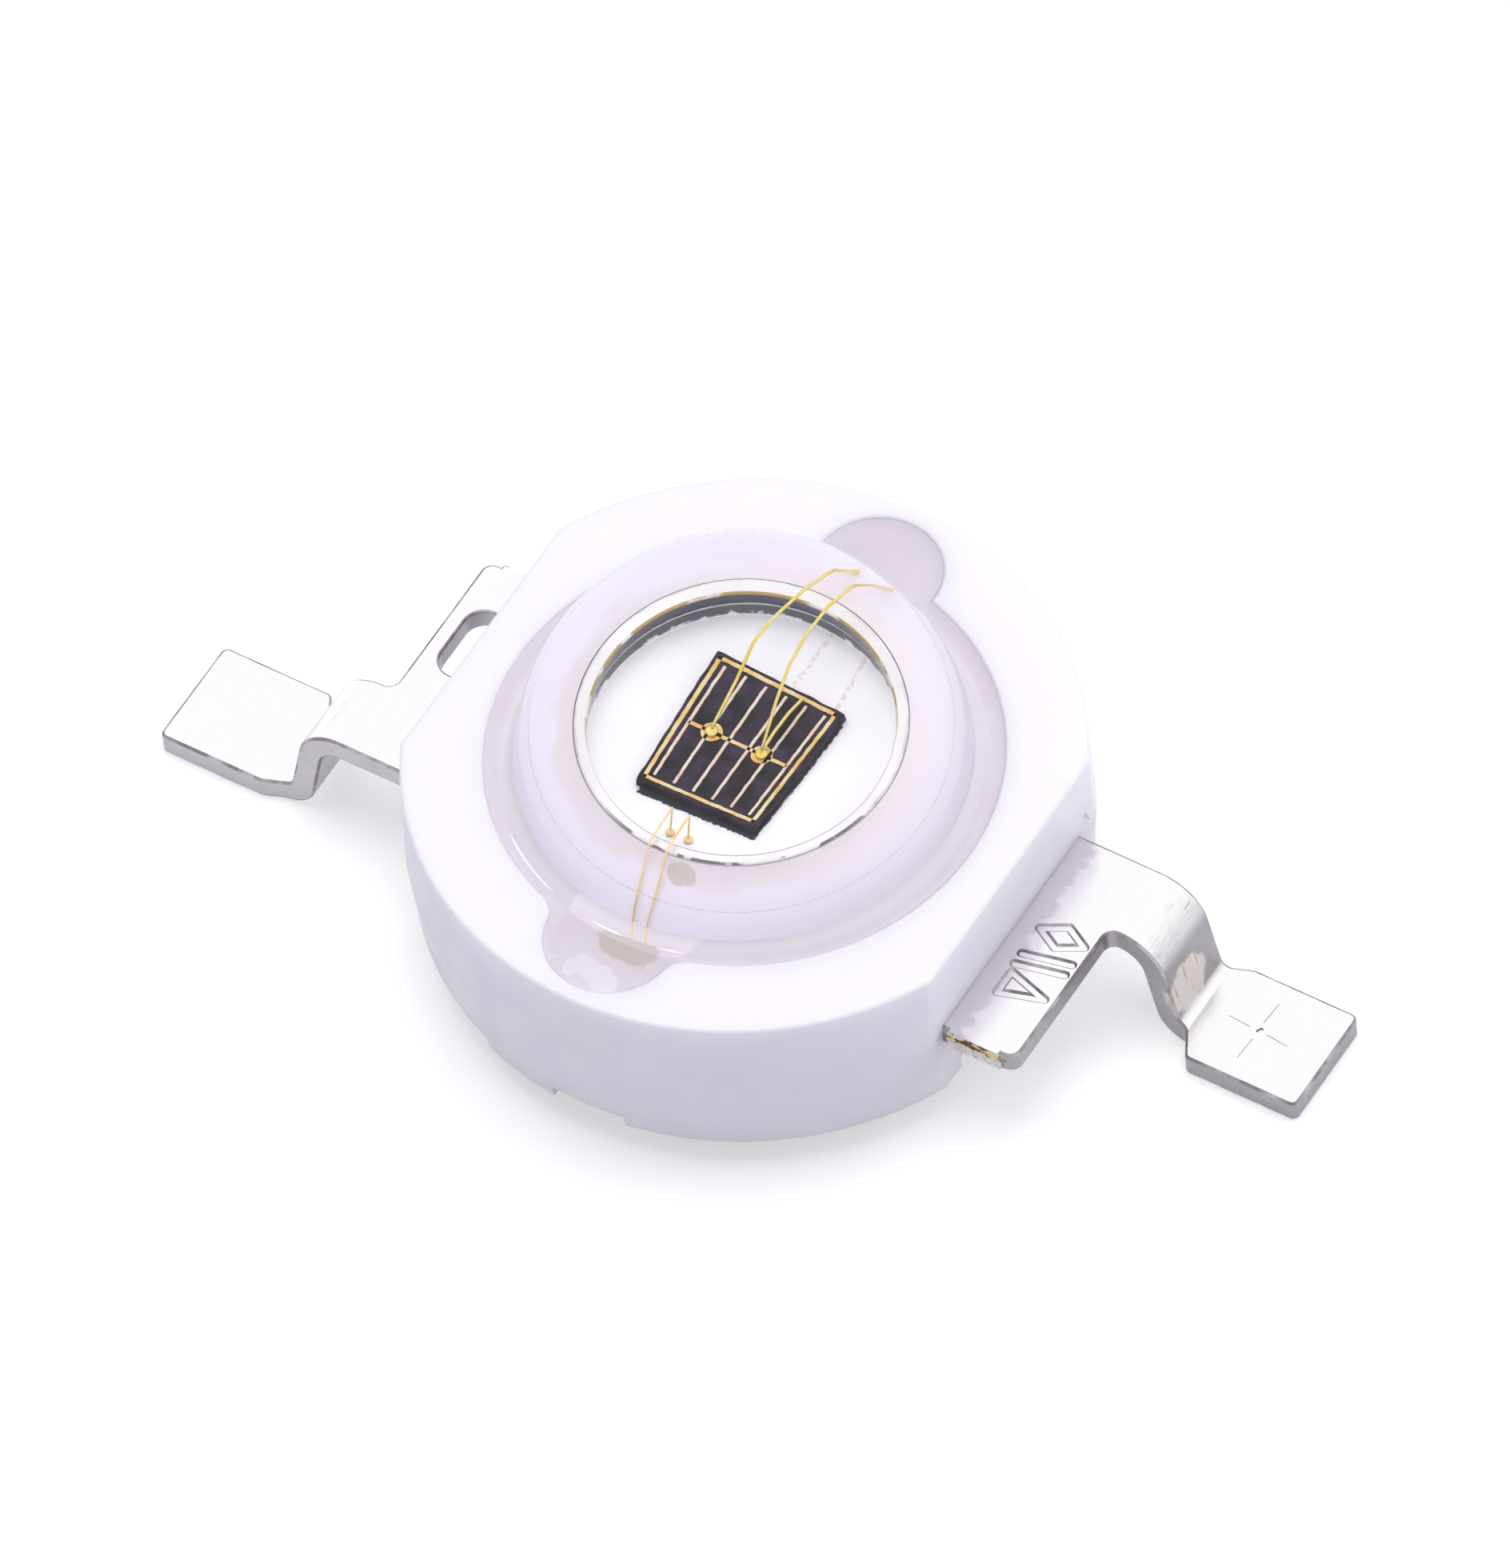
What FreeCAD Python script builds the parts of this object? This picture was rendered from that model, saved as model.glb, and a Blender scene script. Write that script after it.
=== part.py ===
import FreeCAD, Part
import math
import os

from FreeCAD import Vector

os.makedirs("parts", exist_ok=True)

# A round surface-mount power LED: a moulded body on a heat slug, two gull-wing leads,
# a chip in the slug's mirror cup with its bond wires, and a clear dome filled with silicone.
# Millimetres. Z = 0 is the board, Z points up, X runs from lead to lead, and the origin is
# on the body's axis. The right lead and the left lead match by half a turn about Z.

# Moulded body
BODY_DIAMETER = 8.00
FLAT_DEPTH = 0.42
BODY_TOP = 2.68
BODY_BASE = 0.63
PARTING_HEIGHT = 1.45
UPPER_DRAFT = 1.2
LOWER_DRAFT = 4.5
BODY_EDGE = 0.03

# Stand-off pads under the body's rim, as angles from +X
PAD_DROP = 0.20
PAD_INNER_RADIUS = 3.20
WIDE_PAD_FROM = -81.4
WIDE_PAD_TO = -20.0
NARROW_PAD_FROM = -110.5
NARROW_PAD_TO = -95.3

# Stub left by the mould's gate at one corner
GATE_WIDTH = 0.34
GATE_PROUD = 0.07
GATE_LOW = 1.78
GATE_HIGH = 2.40

# Dome lens
LENS_RADIUS = 2.69
LENS_WALL = 0.42
LENS_SKIRT = 0.32
FLANGE_LIP = 0.13
FLANGE_HEIGHT = 0.30

# Lens well and the cavity under the lens
WELL_CLEARANCE = 0.21
SEAT_DEPTH = 0.48
CAVITY_MARGIN = 0.08
CAVITY_SLOPE = 0.54
FLOOR_DROP = 0.12

# Filling pockets on the Y axis, one over each bond pad
POCKET_WALL = 0.22
POCKET_RADIUS = 0.78
POCKET_INNER = 1.80
POCKET_BLEND = 0.36
POCKET_SKIN = 0.03
PAD_WINDOW_WIDTH = 0.66
PAD_WINDOW_INNER = 2.20
PAD_WINDOW_OUTER = 2.84
PAD_WINDOW_CORNER = 0.12
SILICONE_DROP = 0.06

# Leads
LEAD_THICKNESS = 0.30
PLATE_TOP = 1.60
EAR_REACH = 0.97
PLATE_ARM_SIDE = 1.50
PLATE_EAR_SIDE = 1.62
EAR_CORNER = 0.15
ARM_WIDTH = 1.00
ARM_CORNER = 0.14
BEND_GAP = 0.12
BEND_RADIUS = 0.32
RISE_ANGLE = 78.0
TOE_RADIUS = 0.14
LEAD_SPAN = 14.40
FOOT_LENGTH = 1.48
FOOT_NEAR = 0.135
FOOT_FAR = 1.605
FOOT_CORNER = 0.09
SHOULDER_RUN = 0.20
STUB_GAP = 0.06
STUB_LENGTH = 0.72
STUB_PROUD = 0.06
RING_INNER = 1.95
RING_OUTER = 2.92
RING_END_ANGLE = 99.0
PLATE_ROOT = 2.60
SLOT_OUT = 0.50
SLOT_MIDDLE = 0.49
SLOT_LENGTH = 1.01
SLOT_WIDTH = 0.50

# Heat slug
SLUG_DIAMETER = 5.50
SLUG_BASE_HEIGHT = 0.45
COLLAR_DIAMETER = 5.10
COLLAR_HEIGHT = 0.95
STEM_DIAMETER = 2.90
STEM_PROUD = 0.13
CUP_WALL = 0.12
CUP_DRAFT = 0.03
CUP_DEPTH = 0.30
LOCK_GROOVE_DEPTH = 0.12
LOCK_GROOVE_LOW = 1.08
LOCK_GROOVE_HIGH = 1.26
SLUG_EDGE = 0.06

# Chip, its solder and its gold
CHIP_X = 1.16
CHIP_Y = 1.37
CHIP_THICKNESS = 0.085
CHIP_OFFSET_X = -0.09
CHIP_OFFSET_Y = 0.05
SOLDER_THICKNESS = 0.010
SOLDER_MARGIN = 0.005
METAL_THICKNESS = 0.006
FRAME_MARGIN = 0.035
FRAME_WIDTH = 0.034
FINGER_COUNT = 6
FINGER_PITCH = 0.184
FINGER_WIDTH = 0.026
FINGER_GAP = 0.03
CROSSBAR_WIDTH = 0.032
CROSSBAR_SHIFT = 0.015
BOND_PAD_DIAMETER = 0.18

# Bond wires, and the loops that they make
WIRE_DIAMETER = 0.032
WIRE_SIDES = 8
BALL_SIDES = 12
BALL_DIAMETER = 0.11
BALL_HEIGHT = 0.05
STITCH_LENGTH = 0.10
CHIP_BALL_SPAN = 0.47
CHIP_LOOP_HEIGHTS = (0.695, 0.775)
CHIP_LEAN_RUN = 0.28
CHIP_LEAN_SHARE = 0.505
CHIP_PEAK_RUN = 0.555
CHIP_PEAK_SHARE = 0.96
CHIP_CREST_RUN = 0.875
CHIP_SHOULDER_GAP = 0.17
CHIP_SHOULDER_DROP = 0.26
CHIP_LANDING = 2.38
CHIP_WIRE_SLANTS = (0.24, 0.0)
SLUG_BALL_OUT = 0.98
SLUG_BALL_SPAN = 0.18
SLUG_BALL_SHIFT = -0.08
SLUG_NECK_HEIGHT = 0.36
SLUG_SHOULDER_GAP = 0.06
SLUG_SHOULDER_RISE = 0.07
SLUG_ELBOW_RUN = 0.14
SLUG_ELBOW_DROP = 0.26
SLUG_LANDING = 2.38
SLUG_WIRE_SLANT = 0.07
WIRE_FALL_RUN = 0.24

# Sizes that follow from those above
FLAT = BODY_DIAMETER / 2 - FLAT_DEPTH
SEAT_HEIGHT = BODY_TOP - SEAT_DEPTH
FLOOR_HEIGHT = SEAT_HEIGHT - FLOOR_DROP
LENS_CENTRE = SEAT_HEIGHT + LENS_SKIRT
LENS_BORE = LENS_RADIUS - LENS_WALL
FLANGE_RADIUS = LENS_RADIUS + FLANGE_LIP
WELL_RADIUS = FLANGE_RADIUS + WELL_CLEARANCE
CAVITY_RADIUS = LENS_BORE + CAVITY_MARGIN
FLOOR_RADIUS = CAVITY_RADIUS - CAVITY_SLOPE
POCKET_OFFSET = BODY_DIAMETER / 2 - POCKET_WALL - POCKET_RADIUS
SILICONE_LEVEL = BODY_TOP - SILICONE_DROP
PLATE_REACH = FLAT + EAR_REACH
FOOT_TIP = LEAD_SPAN / 2
FOOT_SHOULDER = FOOT_TIP - FOOT_LENGTH
STEM_RADIUS = STEM_DIAMETER / 2
RIM_HEIGHT = BODY_TOP + STEM_PROUD
CUP_FLOOR = RIM_HEIGHT - CUP_DEPTH
CHIP_BOTTOM = CUP_FLOOR + SOLDER_THICKNESS
CHIP_TOP = CHIP_BOTTOM + CHIP_THICKNESS
METAL_TOP = CHIP_TOP + METAL_THICKNESS
WIRE_FLAT = WIRE_DIAMETER / 2 * math.cos(math.pi / WIRE_SIDES)

AXIS_Z = Vector(0, 0, 1)
ORIGIN = Vector(0, 0, 0)
SPLIT_MARGIN = 1.0


def cylinder(diameter, low, high):
    """A cylinder on the body's axis between two heights."""
    return Part.makeCylinder(diameter / 2, high - low, Vector(0, 0, low))


def plan_prism(points, low, high):
    """A prism over a closed run of plan points."""
    face = Part.Face(Part.makePolygon([Vector(x, y, low) for x, y in points + points[:1]]))
    return face.extrude(Vector(0, 0, high - low))


def half_turn(shape):
    """The same shape turned half a turn about Z."""
    turned = shape.copy()
    turned.rotate(ORIGIN, AXIS_Z, 180)
    return turned


def revolve(points):
    """A solid of revolution from (radius, height) points."""
    outline = Part.makePolygon([Vector(r, 0, z) for r, z in points + points[:1]])
    return Part.Face(outline).revolve(ORIGIN, AXIS_Z, 360)


def polar(radius, degrees):
    """A plan point at a radius and an angle from +X."""
    angle = math.radians(degrees)
    return Vector(radius * math.cos(angle), radius * math.sin(angle), 0)


def turned_ring(radius, sides):
    """Plan points spaced evenly round the origin."""
    return [polar(radius, 360 * (index + 0.5) / sides) for index in range(sides)]


def ring_sector(inner, outer, start, end, low, high):
    """A piece of a flat ring between two angles and two heights."""
    middle = (start + end) / 2
    edges = [
        Part.Arc(polar(outer, start), polar(outer, middle), polar(outer, end)).toShape(),
        Part.LineSegment(polar(outer, end), polar(inner, end)).toShape(),
        Part.Arc(polar(inner, end), polar(inner, middle), polar(inner, start)).toShape(),
        Part.LineSegment(polar(inner, start), polar(outer, start)).toShape(),
    ]
    face = Part.Face(Part.Wire(edges))
    face.translate(Vector(0, 0, low))
    return face.extrude(Vector(0, 0, high - low))


def upright_edges(shape, x, y, reach=0.01):
    """The shape's vertical edges that stand at one place in plan."""
    found = []
    for edge in shape.Edges:
        ends = [vertex.Point for vertex in edge.Vertexes]
        if len(ends) == 2 and all(math.hypot(p.x - x, p.y - y) < reach for p in ends):
            found.append(edge)
    return found


def rounded(shape, radius, spots):
    """The shape with its vertical edges at the named places rounded."""
    edges = [edge for x, y in spots for edge in upright_edges(shape, x, y)]
    return shape.makeFillet(radius, edges)


# Body

def body_radius(height):
    """Outer radius of the drafted body at a height."""
    parting = BODY_DIAMETER / 2 + (BODY_TOP - PARTING_HEIGHT) * math.tan(math.radians(UPPER_DRAFT))
    if height >= PARTING_HEIGHT:
        return parting - (height - PARTING_HEIGHT) * math.tan(math.radians(UPPER_DRAFT))
    return parting - (PARTING_HEIGHT - height) * math.tan(math.radians(LOWER_DRAFT))


def body_block():
    """The drafted round block, before its flats."""
    lowest = BODY_BASE - PAD_DROP
    block = revolve([
        (0, lowest),
        (body_radius(lowest), lowest),
        (body_radius(PARTING_HEIGHT), PARTING_HEIGHT),
        (BODY_DIAMETER / 2, BODY_TOP),
        (0, BODY_TOP),
    ])
    width = BODY_DIAMETER + 2 * SPLIT_MARGIN
    slab = Part.makeBox(2 * FLAT, width, BODY_TOP + SPLIT_MARGIN, Vector(-FLAT, -width / 2, 0))
    return block.common(slab)


def stand_off_pads():
    """The rim's stand-off pads, as sectors that are later kept from the block."""
    outer = BODY_DIAMETER / 2 + SPLIT_MARGIN
    low = BODY_BASE - PAD_DROP
    wide = ring_sector(PAD_INNER_RADIUS, outer, WIDE_PAD_FROM, WIDE_PAD_TO, low, BODY_BASE)
    narrow = ring_sector(PAD_INNER_RADIUS, outer, NARROW_PAD_FROM, NARROW_PAD_TO, low, BODY_BASE)
    pads = [wide, narrow]
    return pads + [half_turn(pad) for pad in pads]


def pocket_column(low):
    """The filling pocket on the -Y side, from a height up to the top face."""
    height = BODY_TOP - low
    lobe = Part.makeCylinder(POCKET_RADIUS, height, Vector(0, -POCKET_OFFSET, low))
    throat = Part.makeBox(
        2 * POCKET_RADIUS, POCKET_OFFSET - POCKET_INNER, height,
        Vector(-POCKET_RADIUS, -POCKET_OFFSET, low),
    )
    return lobe.fuse(throat).removeSplitter()


def pocket_blend(side):
    """The corner that rounds the pocket's lobe into the well, on one side."""
    lobe_reach = POCKET_RADIUS + POCKET_BLEND
    well_reach = WELL_RADIUS + POCKET_BLEND
    out = (POCKET_OFFSET ** 2 + well_reach ** 2 - lobe_reach ** 2) / (2 * POCKET_OFFSET)
    across = math.sqrt(well_reach ** 2 - out ** 2)
    lobe_share = POCKET_RADIUS / lobe_reach
    well_share = WELL_RADIUS / well_reach
    corners = [
        (side * across * lobe_share, -POCKET_OFFSET - (out - POCKET_OFFSET) * lobe_share),
        (side * across * well_share, -out * well_share),
        (side * POCKET_RADIUS / 2, -POCKET_OFFSET + POCKET_RADIUS / 2),
    ]
    wedge = plan_prism(corners, SEAT_HEIGHT, BODY_TOP)
    centre = Vector(side * across, -out, SEAT_HEIGHT)
    return wedge.cut(Part.makeCylinder(POCKET_BLEND, BODY_TOP - SEAT_HEIGHT, centre))


def pad_window():
    """The window in the pocket's thin floor that bares the bond pad, on the -Y side."""
    half = PAD_WINDOW_WIDTH / 2
    corners = [
        (-half, -PAD_WINDOW_OUTER), (half, -PAD_WINDOW_OUTER),
        (half, -PAD_WINDOW_INNER), (-half, -PAD_WINDOW_INNER),
    ]
    window = plan_prism(corners, PLATE_TOP, PLATE_TOP + POCKET_SKIN)
    return rounded(window, PAD_WINDOW_CORNER, corners)


def pockets():
    """Both filling pockets with their windows. Only the one at -Y is blended into the well."""
    plain = pocket_column(PLATE_TOP + POCKET_SKIN).fuse(pad_window())
    blended = plain.fuse([pocket_blend(side) for side in (-1, 1)])
    return [blended, half_turn(plain)]


def well_space():
    """Everything that the silicone and the lens fill inside the body."""
    space = cylinder(2 * WELL_RADIUS, SEAT_HEIGHT, BODY_TOP)
    cavity = revolve([
        (0, FLOOR_HEIGHT),
        (FLOOR_RADIUS, FLOOR_HEIGHT),
        (CAVITY_RADIUS, SEAT_HEIGHT),
        (0, SEAT_HEIGHT),
    ])
    return space.fuse([cavity] + pockets()).removeSplitter()


def gate_stub():
    """The stub of the mould's gate, on the corner beside the right flat."""
    corner = math.sqrt((BODY_DIAMETER / 2) ** 2 - FLAT ** 2)
    outline = [
        Vector(FLAT - GATE_WIDTH, corner, GATE_LOW),
        Vector(FLAT - GATE_WIDTH, corner, GATE_HIGH),
        Vector(FLAT + GATE_PROUD, corner, GATE_LOW),
    ]
    face = Part.Face(Part.makePolygon(outline + outline[:1]))
    return face.extrude(Vector(0, -GATE_PROUD * 2, 0))


def housing(leads, slug):
    """The white body, moulded round the leads and the slug."""
    body = body_block()
    lowest = BODY_BASE - PAD_DROP
    lower = cylinder(BODY_DIAMETER + 2 * SPLIT_MARGIN, lowest - SPLIT_MARGIN, BODY_BASE)
    for pad in stand_off_pads():
        lower = lower.cut(pad)
    body = body.cut(lower)
    top_edges = [
        edge for edge in body.Edges
        if all(abs(vertex.Z - BODY_TOP) < 1e-6 for vertex in edge.Vertexes)
    ]
    body = body.makeChamfer(BODY_EDGE, top_edges)
    body = body.fuse(gate_stub())
    body = body.cut(well_space())
    for lead in leads:
        body = body.cut(lead)
    return body.cut(slug).removeSplitter()


# Leads

def lead_profile():
    """Side view of the gull-wing sheet, as a face in the XZ plane."""
    top = PLATE_TOP
    foot_top = LEAD_THICKNESS
    outer = BEND_RADIUS + LEAD_THICKNESS
    inner = BEND_RADIUS
    rise = math.radians(RISE_ANGLE)
    centre = (PLATE_REACH + BEND_GAP, top - outer)

    def on_bend(radius, turn):
        return Vector(centre[0] + radius * math.sin(turn), 0, centre[1] + radius * math.cos(turn))

    along = Vector(math.cos(rise), 0, -math.sin(rise))
    across = Vector(math.sin(rise), 0, math.cos(rise))
    upper_end = on_bend(outer, rise)
    toe = TOE_RADIUS
    heel = toe + LEAD_THICKNESS
    toe_height = foot_top + toe
    run = (upper_end.z - (toe_height - toe * math.cos(rise))) / math.sin(rise)
    leg_end = upper_end + along * run
    toe_centre = leg_end + across * toe

    def on_toe(radius, turn):
        return Vector(toe_centre.x - radius * math.sin(turn), 0, toe_centre.z - radius * math.cos(turn))

    inner_leg_end = on_toe(heel, rise)
    root = -RING_OUTER
    edges = [
        Part.LineSegment(Vector(root, 0, top), on_bend(outer, 0)),
        Part.Arc(on_bend(outer, 0), on_bend(outer, rise / 2), upper_end),
        Part.LineSegment(upper_end, leg_end),
        Part.Arc(leg_end, on_toe(toe, rise / 2), on_toe(toe, 0)),
        Part.LineSegment(on_toe(toe, 0), Vector(FOOT_TIP, 0, foot_top)),
        Part.LineSegment(Vector(FOOT_TIP, 0, foot_top), Vector(FOOT_TIP, 0, 0)),
        Part.LineSegment(Vector(FOOT_TIP, 0, 0), on_toe(heel, 0)),
        Part.Arc(on_toe(heel, 0), on_toe(heel, rise / 2), inner_leg_end),
        Part.LineSegment(inner_leg_end, on_bend(inner, rise)),
        Part.Arc(on_bend(inner, rise), on_bend(inner, rise / 2), on_bend(inner, 0)),
        Part.LineSegment(on_bend(inner, 0), Vector(root, 0, top - LEAD_THICKNESS)),
        Part.LineSegment(Vector(root, 0, top - LEAD_THICKNESS), Vector(root, 0, top)),
    ]
    return Part.Face(Part.Wire([edge.toShape() for edge in edges]))


def lead_blank():
    """The bent sheet, wider than any lead."""
    width = 2 * BODY_DIAMETER
    sheet = lead_profile().extrude(Vector(0, width, 0))
    sheet.translate(Vector(0, -width / 2, 0))
    return sheet


def lead_plan():
    """Plan of the right lead as one prism: bond ring, plate with ear, arm and foot."""
    arm_near = PLATE_ARM_SIDE - ARM_WIDTH
    plate = plan_prism([
        (PLATE_ROOT, -PLATE_EAR_SIDE), (PLATE_REACH, -PLATE_EAR_SIDE),
        (PLATE_REACH, PLATE_ARM_SIDE), (PLATE_ROOT, PLATE_ARM_SIDE),
    ], 0, PLATE_TOP)
    plate = rounded(plate, EAR_CORNER, [(PLATE_REACH, -PLATE_EAR_SIDE)])
    arm = plan_prism([
        (PLATE_REACH - ARM_CORNER, arm_near), (FOOT_SHOULDER, arm_near),
        (FOOT_SHOULDER, PLATE_ARM_SIDE), (PLATE_REACH - ARM_CORNER, PLATE_ARM_SIDE),
    ], 0, PLATE_TOP)
    foot = plan_prism([
        (FOOT_SHOULDER - SHOULDER_RUN, arm_near), (FOOT_SHOULDER, FOOT_NEAR),
        (FOOT_TIP, FOOT_NEAR), (FOOT_TIP, FOOT_FAR),
        (FOOT_SHOULDER, FOOT_FAR), (FOOT_SHOULDER - SHOULDER_RUN / 2, PLATE_ARM_SIDE),
    ], 0, PLATE_TOP)
    ring = ring_sector(RING_INNER, RING_OUTER, 0, RING_END_ANGLE, 0, PLATE_TOP)
    stub_start = FLAT + STUB_GAP
    stub_end = stub_start + STUB_LENGTH
    stub = plan_prism([
        (stub_start, -PLATE_EAR_SIDE - STUB_PROUD), (stub_end, -PLATE_EAR_SIDE - STUB_PROUD),
        (stub_end, 0), (stub_start, 0),
    ], 0, PLATE_TOP)
    plan = plate.fuse([arm, foot, ring, stub]).removeSplitter()
    plan = rounded(plan, ARM_CORNER, [(PLATE_REACH, arm_near)])
    plan = rounded(plan, FOOT_CORNER, [(FOOT_TIP, FOOT_NEAR), (FOOT_TIP, FOOT_FAR)])
    return rounded(plan, FOOT_CORNER, [(FOOT_SHOULDER, FOOT_NEAR), (FOOT_SHOULDER, FOOT_FAR)])


def lead():
    """One lead, on the +X side."""
    return lead_blank().common(lead_plan()).removeSplitter()


def ear_slot():
    """The obround slot in the left lead's ear."""
    half = (SLOT_LENGTH - SLOT_WIDTH) / 2
    centre = -FLAT - SLOT_OUT
    low = PLATE_TOP - LEAD_THICKNESS
    ends = [
        Part.makeCylinder(SLOT_WIDTH / 2, LEAD_THICKNESS, Vector(centre, SLOT_MIDDLE + side * half, low))
        for side in (-1, 1)
    ]
    middle = Part.makeBox(
        SLOT_WIDTH, 2 * half, LEAD_THICKNESS,
        Vector(centre - SLOT_WIDTH / 2, SLOT_MIDDLE - half, low),
    )
    return middle.fuse(ends).removeSplitter()


# Slug

def heat_slug():
    """The plated slug: base, collar, grooved stem and mirror cup."""
    stem = STEM_RADIUS
    groove = stem - LOCK_GROOVE_DEPTH
    cup = stem - CUP_WALL
    return revolve([
        (0, 0),
        (SLUG_DIAMETER / 2 - SLUG_EDGE, 0),
        (SLUG_DIAMETER / 2, SLUG_EDGE),
        (SLUG_DIAMETER / 2, SLUG_BASE_HEIGHT),
        (COLLAR_DIAMETER / 2, SLUG_BASE_HEIGHT),
        (COLLAR_DIAMETER / 2, COLLAR_HEIGHT),
        (stem, COLLAR_HEIGHT),
        (stem, LOCK_GROOVE_LOW),
        (groove, LOCK_GROOVE_LOW),
        (groove, LOCK_GROOVE_HIGH),
        (stem, LOCK_GROOVE_HIGH),
        (stem, RIM_HEIGHT),
        (cup, RIM_HEIGHT),
        (cup - CUP_DRAFT, CUP_FLOOR),
        (0, CUP_FLOOR),
    ])


# Chip

def centred_box(width, depth, low, high, x=0.0, y=0.0):
    """A box centred on a place in plan, measured from the chip's own centre."""
    corner = Vector(CHIP_OFFSET_X + x - width / 2, CHIP_OFFSET_Y + y - depth / 2, low)
    return Part.makeBox(width, depth, high - low, corner)


def die_attach():
    """The solder under the chip."""
    grow = 2 * SOLDER_MARGIN
    return centred_box(CHIP_X + grow, CHIP_Y + grow, CUP_FLOOR, CHIP_BOTTOM)


def led_chip():
    """The bare chip."""
    return centred_box(CHIP_X, CHIP_Y, CHIP_BOTTOM, CHIP_TOP)


def chip_ball_places():
    """Where the two chip wires are bonded, in plan."""
    middle = CHIP_OFFSET_X - FRAME_WIDTH / 2
    across = CHIP_OFFSET_Y + CROSSBAR_SHIFT
    return [(middle + side * CHIP_BALL_SPAN / 2, across) for side in (-1, 1)]


def chip_frame():
    """The gold frame round the chip's top."""
    wide = CHIP_X - 2 * FRAME_MARGIN
    deep = CHIP_Y - 2 * FRAME_MARGIN
    inner = 2 * FRAME_WIDTH
    frame = centred_box(wide, deep, CHIP_TOP, METAL_TOP)
    return frame.cut(centred_box(wide - inner, deep - inner, CHIP_TOP, METAL_TOP))


def chip_grid():
    """The gold grid inside the frame: six fingers, a crossbar and two bond pads."""
    length = CHIP_Y - 2 * (FRAME_MARGIN + FRAME_WIDTH + FINGER_GAP)
    span = (FINGER_COUNT - 1) * FINGER_PITCH
    bar = centred_box(span, CROSSBAR_WIDTH, CHIP_TOP, METAL_TOP, y=CROSSBAR_SHIFT)
    pieces = []
    for index in range(FINGER_COUNT):
        x = index * FINGER_PITCH - span / 2
        pieces.append(centred_box(FINGER_WIDTH, length, CHIP_TOP, METAL_TOP, x=x))
    for x, y in chip_ball_places():
        outline = [(x + p.x, y + p.y) for p in turned_ring(BOND_PAD_DIAMETER / 2, BALL_SIDES)]
        pieces.append(plan_prism(outline, CHIP_TOP, METAL_TOP))
    return bar.fuse(pieces).removeSplitter()


# Bond wires

def skin(rings):
    """A solid with flat faces over matching rings of points, closed at both ends."""
    outlines = [rings[0], rings[-1]]
    for lower, upper in zip(rings, rings[1:]):
        for index in range(len(lower)):
            other = (index + 1) % len(lower)
            outlines.append([lower[index], lower[other], upper[other], upper[index]])
    faces = [Part.Face(Part.makePolygon(outline + outline[:1])) for outline in outlines]
    solid = Part.Solid(Part.Shell(faces))
    if solid.Volume < 0:
        solid.reverse()
    return solid


def ball_bond(place):
    """The squashed ball under a wire's first end."""
    steps = ((0.80, 0.0), (1.0, 0.30), (0.95, 0.65), (0.65, 1.0))
    rings = []
    for share, rise in steps:
        centre = place + AXIS_Z * (BALL_HEIGHT * rise)
        rings.append([centre + point for point in turned_ring(BALL_DIAMETER / 2 * share, BALL_SIDES)])
    return skin(rings)


def wire_ring(point, before, after, across):
    """The wire's section at one of its points, on the plane that halves the bend there."""
    lift = across.cross(before) + across.cross(after)
    lift.normalize()
    lift.multiply(1 / lift.dot(across.cross(after)))
    turns = [2 * math.pi * (index + 0.5) / WIRE_SIDES for index in range(WIRE_SIDES)]
    radius = WIRE_DIAMETER / 2
    return [point + across * (radius * math.cos(t)) + lift * (radius * math.sin(t)) for t in turns]


def wire_along(points):
    """A many-sided wire through points of one upright plane, with its bends mitred."""
    runs = [(last - first).normalize() for first, last in zip(points, points[1:])]
    across = (points[-1] - points[0]).cross(AXIS_Z).normalize()
    befores = runs[:1] + runs
    afters = runs + runs[-1:]
    rings = [wire_ring(*place, across) for place in zip(points, befores, afters)]
    return skin(rings)


def bond_wire(ball, landing, base, stations):
    """A ball-bonded wire in one upright plane.

    ball and landing are plan points and base is the height that the ball sits on. stations are
    (distance from the body's middle along Y, height) pairs between the ball and the landing.
    """
    start = Vector(ball[0], ball[1], base)
    end = Vector(landing[0], landing[1], PLATE_TOP + WIRE_FLAT)
    plan = Vector(end.x - start.x, end.y - start.y, 0)
    points = [start + AXIS_Z * (BALL_HEIGHT / 2)]
    for out, height in stations:
        share = (out - abs(ball[1])) / (abs(landing[1]) - abs(ball[1]))
        points.append(Vector(start.x + plan.x * share, start.y + plan.y * share, height))
    points += [end, end + plan.normalize() * STITCH_LENGTH]
    return ball_bond(start).fuse(wire_along(points)).removeSplitter()


def chip_wires():
    """The two wires from the chip over the rim to the right lead's pad."""
    shoulder = STEM_RADIUS + CHIP_SHOULDER_GAP
    wires = []
    for (x, y), loop, slant in zip(chip_ball_places(), CHIP_LOOP_HEIGHTS, CHIP_WIRE_SLANTS):
        stations = [
            (y + CHIP_LEAN_RUN, METAL_TOP + loop * CHIP_LEAN_SHARE),
            (y + CHIP_PEAK_RUN, METAL_TOP + loop * CHIP_PEAK_SHARE),
            (y + CHIP_CREST_RUN, METAL_TOP + loop),
            (shoulder, METAL_TOP + loop - CHIP_SHOULDER_DROP),
            (shoulder + WIRE_FALL_RUN, FLOOR_HEIGHT),
        ]
        wires.append(bond_wire((x, y), (x + slant, CHIP_LANDING), METAL_TOP, stations))
    return wires


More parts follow.
